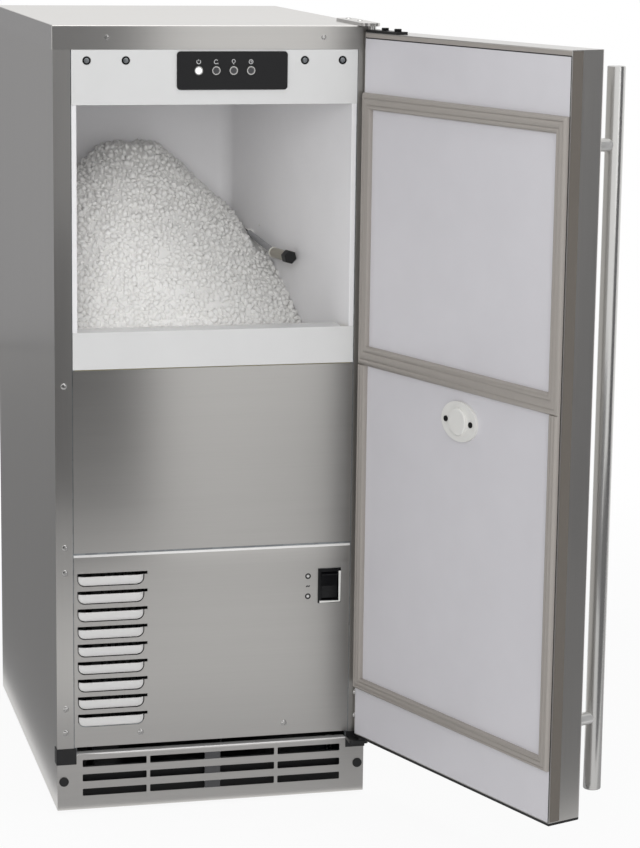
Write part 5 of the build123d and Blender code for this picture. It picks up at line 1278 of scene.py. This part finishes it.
class DoorLeaf(bpy.types.Operator):
    """Steel pan of the door, its white inner liner, the strip along its foot and the strips round its edge"""

    bl_idname = "icemaker.door_leaf"
    bl_label = "Door Leaf"

    # Widths of the fold over the liner's top, of the dark seam of painted shade and of the vinyl on the free
    # edge.
    FOLD, SEAM, VINYL = 4.4 * MM, 1.3 * MM, 13 * MM
    # Thickness of these strips, and how far the vinyl stands back from the liner's face.
    STRIP = 0.05 * MM
    VINYL_BACK = 1 * MM

    def execute(self, context):
        edges = settings().edges
        eased("door_pan", edges.sheet, [UPRIGHT])
        eased("door_liner", edges.moulded, ["polystyrene_door_formed"])
        eased("door_bottom_strip", edges.moulded, [BLACK])
        eased("magnet_housing", edges.moulded, ["abs_boss_satin"])
        self.rim()
        return {"FINISHED"}

    def rim(self):
        """The fold over the liner's top, a seam of painted shade under it and beside the gaskets, and the
        vinyl.
        """
        (near, face, foot), (far, _, top) = door_span("door_liner")
        edge = door_span("door_pan")[1][0]

        def inner(u, z, height):
            return door_point(u, face - height, z)

        def end(v, z, height):
            return door_point(edge + height, v, z)

        fold = top - self.FOLD / 2
        under = top - self.FOLD - self.SEAM / 2
        beside = far - 0.2 * MM
        middle = face + self.VINYL_BACK + self.VINYL / 2
        body = Shape()
        body.add(stroke([(near, fold), (far, fold)], self.FOLD, self.STRIP, inner), 0)
        body.add(stroke([(near, under), (far, under)], self.SEAM, self.STRIP, inner), 1)
        body.add(stroke([(beside, under), (beside, foot)], self.SEAM, self.STRIP, inner), 1)
        body.add(stroke([(middle, foot), (middle, top)], self.VINYL, self.STRIP, end), 2)
        piece = body.build("door_rim", ["vinyl_gasket_extruded", BLACK, "breaker_vinyl_brown"])
        go_with(piece, "door_pan")


class Gaskets(bpy.types.Operator):
    """Extruded seals round the door's two fields, mitred at the corners"""

    bl_idname = "icemaker.gaskets"
    bl_label = "Gaskets"

    # Share of the width from the outer edge, and share of the height: a bellows with two grooves.
    PROFILE = ((0, 0), (0, 0.5), (0.05, 0.78), (0.12, 0.93), (0.22, 0.97), (0.27, 0.9), (0.3, 0.8),
               (0.33, 0.9), (0.38, 0.98), (0.5, 1.0), (0.62, 0.98), (0.67, 0.9), (0.7, 0.8), (0.73, 0.9),
               (0.8, 0.96), (0.9, 0.9), (0.96, 0.72), (1, 0.45), (1, 0))
    # Widths of the hinge side, the free side, the lower and the upper side. The lower seal is open above.
    SIDES = {"upper_gasket": (15 * MM, 15 * MM, 22 * MM, 18 * MM),
             "lower_gasket": (13 * MM, 13 * MM, 13 * MM, None)}

    def execute(self, context):
        for node, sides in self.SIDES.items():
            self.seal(node, *sides)
        return {"FINISHED"}

    def seal(self, node, near, far, low, high):
        """A mitred frame, or a U where there is no upper side."""
        (u0, v0, z0), (u1, v1, z1) = door_span(node)
        rows, points, faces = [], [], []
        for across, rise in self.PROFILE:
            v = v1 + (v0 - v1) * rise
            top = z1 - across * high if high else z1
            corners = [(u0 + across * near, top), (u0 + across * near, z0 + across * low),
                       (u1 - across * far, z0 + across * low), (u1 - across * far, top)]
            rows.append(range(len(points), len(points) + 4))
            points.extend(door_point(u, v, z) for u, z in corners)
        count = len(rows)
        for i in range(count):
            a, b = rows[i], rows[(i + 1) % count]
            for k in range(4 if high else 3):
                n = (k + 1) % 4
                faces.append([a[k], a[n], b[n], b[k]])
        if not high:
            faces.append([row[0] for row in rows])
            faces.append([row[3] for row in rows])
        shape = Shape().add((points, faces))
        stand_for(shape.build(node + "_seal", ["vinyl_gasket_extruded"], 50), node)


class Handle(bpy.types.Operator):
    """Tubular door handle on two posts"""

    bl_idname = "icemaker.handle"
    bl_label = "Handle"

    def execute(self, context):
        low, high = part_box("handle_bar")
        radius = (high.x - low.x) / 2
        length = high.z - low.z
        ease = 1.2 * MM
        bar = [(0, 0), (0, radius - ease), (ease * 0.3, radius - ease * 0.3), (ease, radius),
               (length - ease, radius), (length - ease * 0.3, radius - ease * 0.3), (length, radius - ease),
               (length, 0)]
        base = ((low.x + high.x) / 2, (low.y + high.y) / 2, low.z)
        shape = Shape().add(revolve(bar, base, (0, 0, 1), 72))
        stand_for(shape.build("handle_tube", ["stainless_tube_polished"], 40), "handle_bar")
        eased("handle_posts", settings().edges.sheet, ["stainless_post_turned"])
        return {"FINISHED"}


class Hinges(bpy.types.Operator):
    """Plate, pins and bushes that carry the door"""

    bl_idname = "icemaker.hinges"
    bl_label = "Hinges"

    def execute(self, context):
        edge = settings().edges.sheet
        eased("hinge_plate", edge, [LEVEL])
        eased("hinge_pins", edge, ["stainless_turned"])
        eased("hinge_bushes", edge, ["steel_black_painted"])
        return {"FINISHED"}


class InnerWorks(bpy.types.Operator):
    """Finishes of the feet and of everything inside the case"""

    bl_idname = "icemaker.inner_works"
    bl_label = "Inner Works"

    FINISHES = {
        "steel_galvanised": ("inner_frame",),
        "board_soldermask_green": ("control_board",),
        "foam_poured": ("bin_insulation", "door_foam"),
        "food_plastic_satin": ("ice_chute", "water_reservoir", "float_arm", "water_inlet_valve",
                               "drain_tube"),
        "aluminium_die_cast": ("gearmotor",),
        "column_steel_drawn": ("evaporator", "extruder_head", "auger"),
        "steel_black_painted": ("compressor", "condenser", "fan_motor"),
        BLACK: ("cord_gland", "fan_blade"),
    }
    FEET = ("front_left_foot", "front_right_foot", "rear_left_foot", "rear_right_foot")

    def execute(self, context):
        for material, nodes in self.FINISHES.items():
            for node in nodes:
                slots = NODES[node].data.materials
                for i in range(len(slots)):
                    slots[i] = look(material)
        for node in self.FEET:
            eased(node, settings().edges.moulded, ["stainless_turned"])
        return {"FINISHED"}


class Stage(bpy.types.Operator):
    """White floor and room, soft lamps and the camera"""

    bl_idname = "icemaker.stage"
    bl_label = "Stage"

    # Grey cards round the object, as in a studio: lowest and highest corner, and the grey that metal and
    # gloss reflect. The floor's cards lie just over it.
    OVER = 0.004
    CARDS = {
        "card_foot": ((-3, -0.62, OVER), (3, -0.256, OVER), "#B4B4B5"),
        "card_front": ((-3, -1.15, OVER), (3, -0.62, OVER), "#E4E4E4"),
        "card_middle": ((-3, -1.7, OVER), (3, -1.15, OVER), "#909091"),
        "card_far": ((0.1, -6, OVER), (3, -1.7, OVER), "#F4F4F4"),
        "card_far_left": ((-3, -6, OVER), (0.1, -1.7, OVER), "#8A8A8B"),
        "card_strip": ((0.82, -2.5, 0.05), (1.0, -2.5, 1.2), "#FFFFFF"),
        "card_near_left": ((-1.2, -0.65, 0.27), (0, -0.65, 0.62), "#606061"),
        "card_high_left": ((-1.2, -0.65, 0.62), (0, -0.65, 1.3), "#848485"),
        "card_near_right": ((0.193, -0.45, 0), (0.23, -0.45, 0.95), "#141415"),
        "card_left": ((-3, -0.2, OVER), (-0.2, 3, OVER), "#868687"),
        "card_back": ((-1.8, 1.2, 0.3), (-0.2, 1.2, 2), "#A2A2A4"),
        "card_right": ((1.6, -2.2, 0), (1.6, -0.7, 3), "#626264"),
        "card_right_low": ((0.4, -2.2, 0.01), (1.6, -0.7, 0.01), "#767677"),
    }
    # This card darkens the panels beside the hinge. It faces them, and the door doesn't see its back.
    ONE_SIDED = "card_near_right"

    # Each lamp's place, aim and size, the setting of its power, and whether metal and gloss mirror it.
    LAMPS = {
        "bin": ((-0.03, -0.225, 0.79), (-0.04, -0.17, 0.55), 0.12, "bin_light", True),
        "key": ((-0.7, -3.3, 1.5), (0, -0.2, 0.55), 1.6, "key", False),
        "fill": ((2.2, -2.4, 1.6), (0, -0.2, 0.5), 1.4, "fill", True),
        "over": ((0.1, -0.2, 3.0), (0, 0, 0.5), 1.8, "over", True),
    }
    FLOOR_HALF = 8.0
    SENSOR_WIDE = 36

    def execute(self, context):
        values = settings().stage
        self.floor()
        self.room(values.ambient)
        for name, (low, high, grey) in self.CARDS.items():
            self.card(name, low, high, grey)
        for name, (place, target, size, power, mirrored) in self.LAMPS.items():
            self.lamp(name, place, target, size, getattr(values, power), mirrored)
        self.camera(values)
        context.scene.view_settings.view_transform = "Standard"
        return {"FINISHED"}

    def seen(self, tree):
        """1 for what the camera sees, straight or by way of metal and glass."""
        path = add(tree, "ShaderNodeLightPath")
        seen = add(tree, "ShaderNodeMath",
                   {0: path.outputs["Is Camera Ray"], 1: path.outputs["Is Glossy Ray"]}, operation="MAXIMUM")
        return add(tree, "ShaderNodeMath", {0: seen.outputs["Value"], 1: path.outputs["Is Transmission Ray"]},
                   operation="MAXIMUM")

    def floor(self):
        """A plain white floor that keeps a soft shadow near the object and is plain white farther off."""
        half = self.FLOOR_HALF
        corners = [(-half, -half, 0), (half, -half, 0), (half, half, 0), (-half, half, 0)]
        mesh = bpy.data.meshes.new("floor")
        mesh.from_pydata(corners, [], [(0, 1, 2, 3)])
        tree = new_tree("floor_paper")
        place = add(tree, "ShaderNodeTexCoord")
        far = add(tree, "ShaderNodeVectorMath", {0: place.outputs["Object"]}, operation="LENGTH")
        white_share = add(tree, "ShaderNodeMapRange", {"Value": far.outputs["Value"], "From Min": 0.8,
                                                       "From Max": 1.6, "To Min": 0.92, "To Max": 1.0})
        paper = add(tree, "ShaderNodeBsdfDiffuse", {"Color": linear("#F2F2F2")})
        white = add(tree, "ShaderNodeEmission", {"Color": linear("#FFFFFF"), "Strength": 1.0})
        part = add(tree, "ShaderNodeMath",
                   {0: self.seen(tree).outputs["Value"], 1: white_share.outputs["Result"]},
                   operation="MULTIPLY")
        mix = add(tree, "ShaderNodeMixShader", {0: part.outputs["Value"], 1: paper.outputs["BSDF"],
                                                2: white.outputs["Emission"]})
        add(tree, "ShaderNodeOutputMaterial", {"Surface": mix.outputs["Shader"]})
        mesh.materials.append(bpy.data.materials["floor_paper"])
        link("floor", mesh)

    def card(self, name, low, high, grey):
        """A flat grey card between two corners that only metal and gloss reflect."""
        flat = [axis for axis in range(3) if low[axis] == high[axis]][0]
        across, along = [axis for axis in range(3) if axis != flat]
        corners = [list(low) for _ in range(4)]
        for k in (1, 2):
            corners[k][across] = high[across]
        for k in (2, 3):
            corners[k][along] = high[along]
        one_sided = name == self.ONE_SIDED
        mesh = bpy.data.meshes.new(name)
        mesh.from_pydata(corners, [], [(3, 2, 1, 0) if one_sided else (0, 1, 2, 3)])
        tree = new_tree(name + "_paper")
        paper = add(tree, "ShaderNodeEmission", {"Color": linear(grey), "Strength": 1.0})
        clear = add(tree, "ShaderNodeBsdfTransparent")
        side = add(tree, "ShaderNodeNewGeometry")
        behind = add(tree, "ShaderNodeMath", {0: side.outputs["Backfacing"], 1: float(one_sided)},
                     operation="MULTIPLY")
        sheet = add(tree, "ShaderNodeMixShader", {0: behind.outputs["Value"], 1: paper.outputs["Emission"],
                                                  2: clear.outputs["BSDF"]})
        add(tree, "ShaderNodeOutputMaterial", {"Surface": sheet.outputs["Shader"]})
        mesh.materials.append(bpy.data.materials[name + "_paper"])
        made = link(name, mesh)
        for ray in ("camera", "diffuse", "transmission", "volume_scatter", "shadow"):
            setattr(made, "visible_" + ray, False)

    def room(self, ambient):
        """A white room: plain white to the eye, dimmer as a source of light."""
        world = bpy.data.worlds.new("room")
        world.use_nodes = True
        tree = world.node_tree
        tree.nodes.clear()
        light = add(tree, "ShaderNodeBackground", {"Color": linear("#F7F8FA"), "Strength": ambient})
        white = add(tree, "ShaderNodeBackground", {"Color": linear("#FFFFFF"), "Strength": 1.0})
        mix = add(tree, "ShaderNodeMixShader",
                  {0: self.seen(tree).outputs["Value"], 1: light.outputs["Background"],
                   2: white.outputs["Background"]})
        add(tree, "ShaderNodeOutputWorld", {"Surface": mix.outputs["Shader"]})
        bpy.context.scene.world = world

    def lamp(self, name, place, target, size, power, mirrored):
        """A square soft lamp aimed at a point, which metal and gloss mirror or not."""
        data = bpy.data.lights.new(name, "AREA")
        data.energy = power
        data.size = size
        made = bpy.data.objects.new(name, data)
        bpy.context.scene.collection.objects.link(made)
        made.location = place
        made.rotation_euler = (Vector(target) - Vector(place)).to_track_quat("-Z", "Y").to_euler()
        made.visible_glossy = mirrored

    def camera(self, values):
        """The camera of the picture."""
        data = bpy.data.cameras.new("camera")
        data.lens = values.lens
        data.sensor_width = self.SENSOR_WIDE
        made = bpy.data.objects.new("camera", data)
        bpy.context.scene.collection.objects.link(made)
        turn, tilt, roll = values.azimuth, values.elevation, values.roll
        ahead = Vector((math.sin(turn) * math.cos(tilt), math.cos(turn) * math.cos(tilt), -math.sin(tilt)))
        right = Vector((math.cos(turn), -math.sin(turn), 0))
        up = right.cross(ahead)
        level = right * math.cos(roll) + up * math.sin(roll)
        rise = up * math.cos(roll) - right * math.sin(roll)
        made.matrix_world = Matrix((level, rise, -ahead)).transposed().to_4x4()
        made.location = values.eye
        bpy.context.scene.camera = made


PIECES = (CaseSheets, ServicePanel, KickPlate, Fasteners, Controls, PowerSwitch, Bin, Sensor, IceHeap,
          DoorLeaf, Gaskets, Handle, Hinges, InnerWorks, Stage)


class IceMakerPanel(bpy.types.Panel):
    """Lists the pieces and their settings"""

    bl_idname = "VIEW3D_PT_ice_maker"
    bl_label = "Ice Maker"
    bl_space_type = "VIEW_3D"
    bl_region_type = "UI"
    bl_category = "Ice Maker"

    def draw(self, context):
        for piece in PIECES:
            self.layout.operator(piece.bl_idname)
        values = settings()
        for group in (values.finish, values.edges, values.ice, values.louvres, values.stage):
            box = self.layout.box()
            for name in group.__annotations__:
                box.prop(group, name)


CLASSES = (FinishSettings, EdgeSettings, IceSettings, LouvreSettings, StageSettings, IceMakerSettings,
           *PIECES, IceMakerPanel)


def register():
    """Register the classes and the scene's settings."""
    for kind in CLASSES:
        bpy.utils.register_class(kind)
    bpy.types.Scene.ice_maker = PointerProperty(type=IceMakerSettings)


def unregister():
    """Remove the settings and the classes."""
    del bpy.types.Scene.ice_maker
    for kind in reversed(CLASSES):
        bpy.utils.unregister_class(kind)


def main():
    """Make every piece in order."""
    register()
    for piece in PIECES:
        group, name = piece.bl_idname.split(".")
        getattr(getattr(bpy.ops, group), name)()


if __name__ == "__main__":
    main()
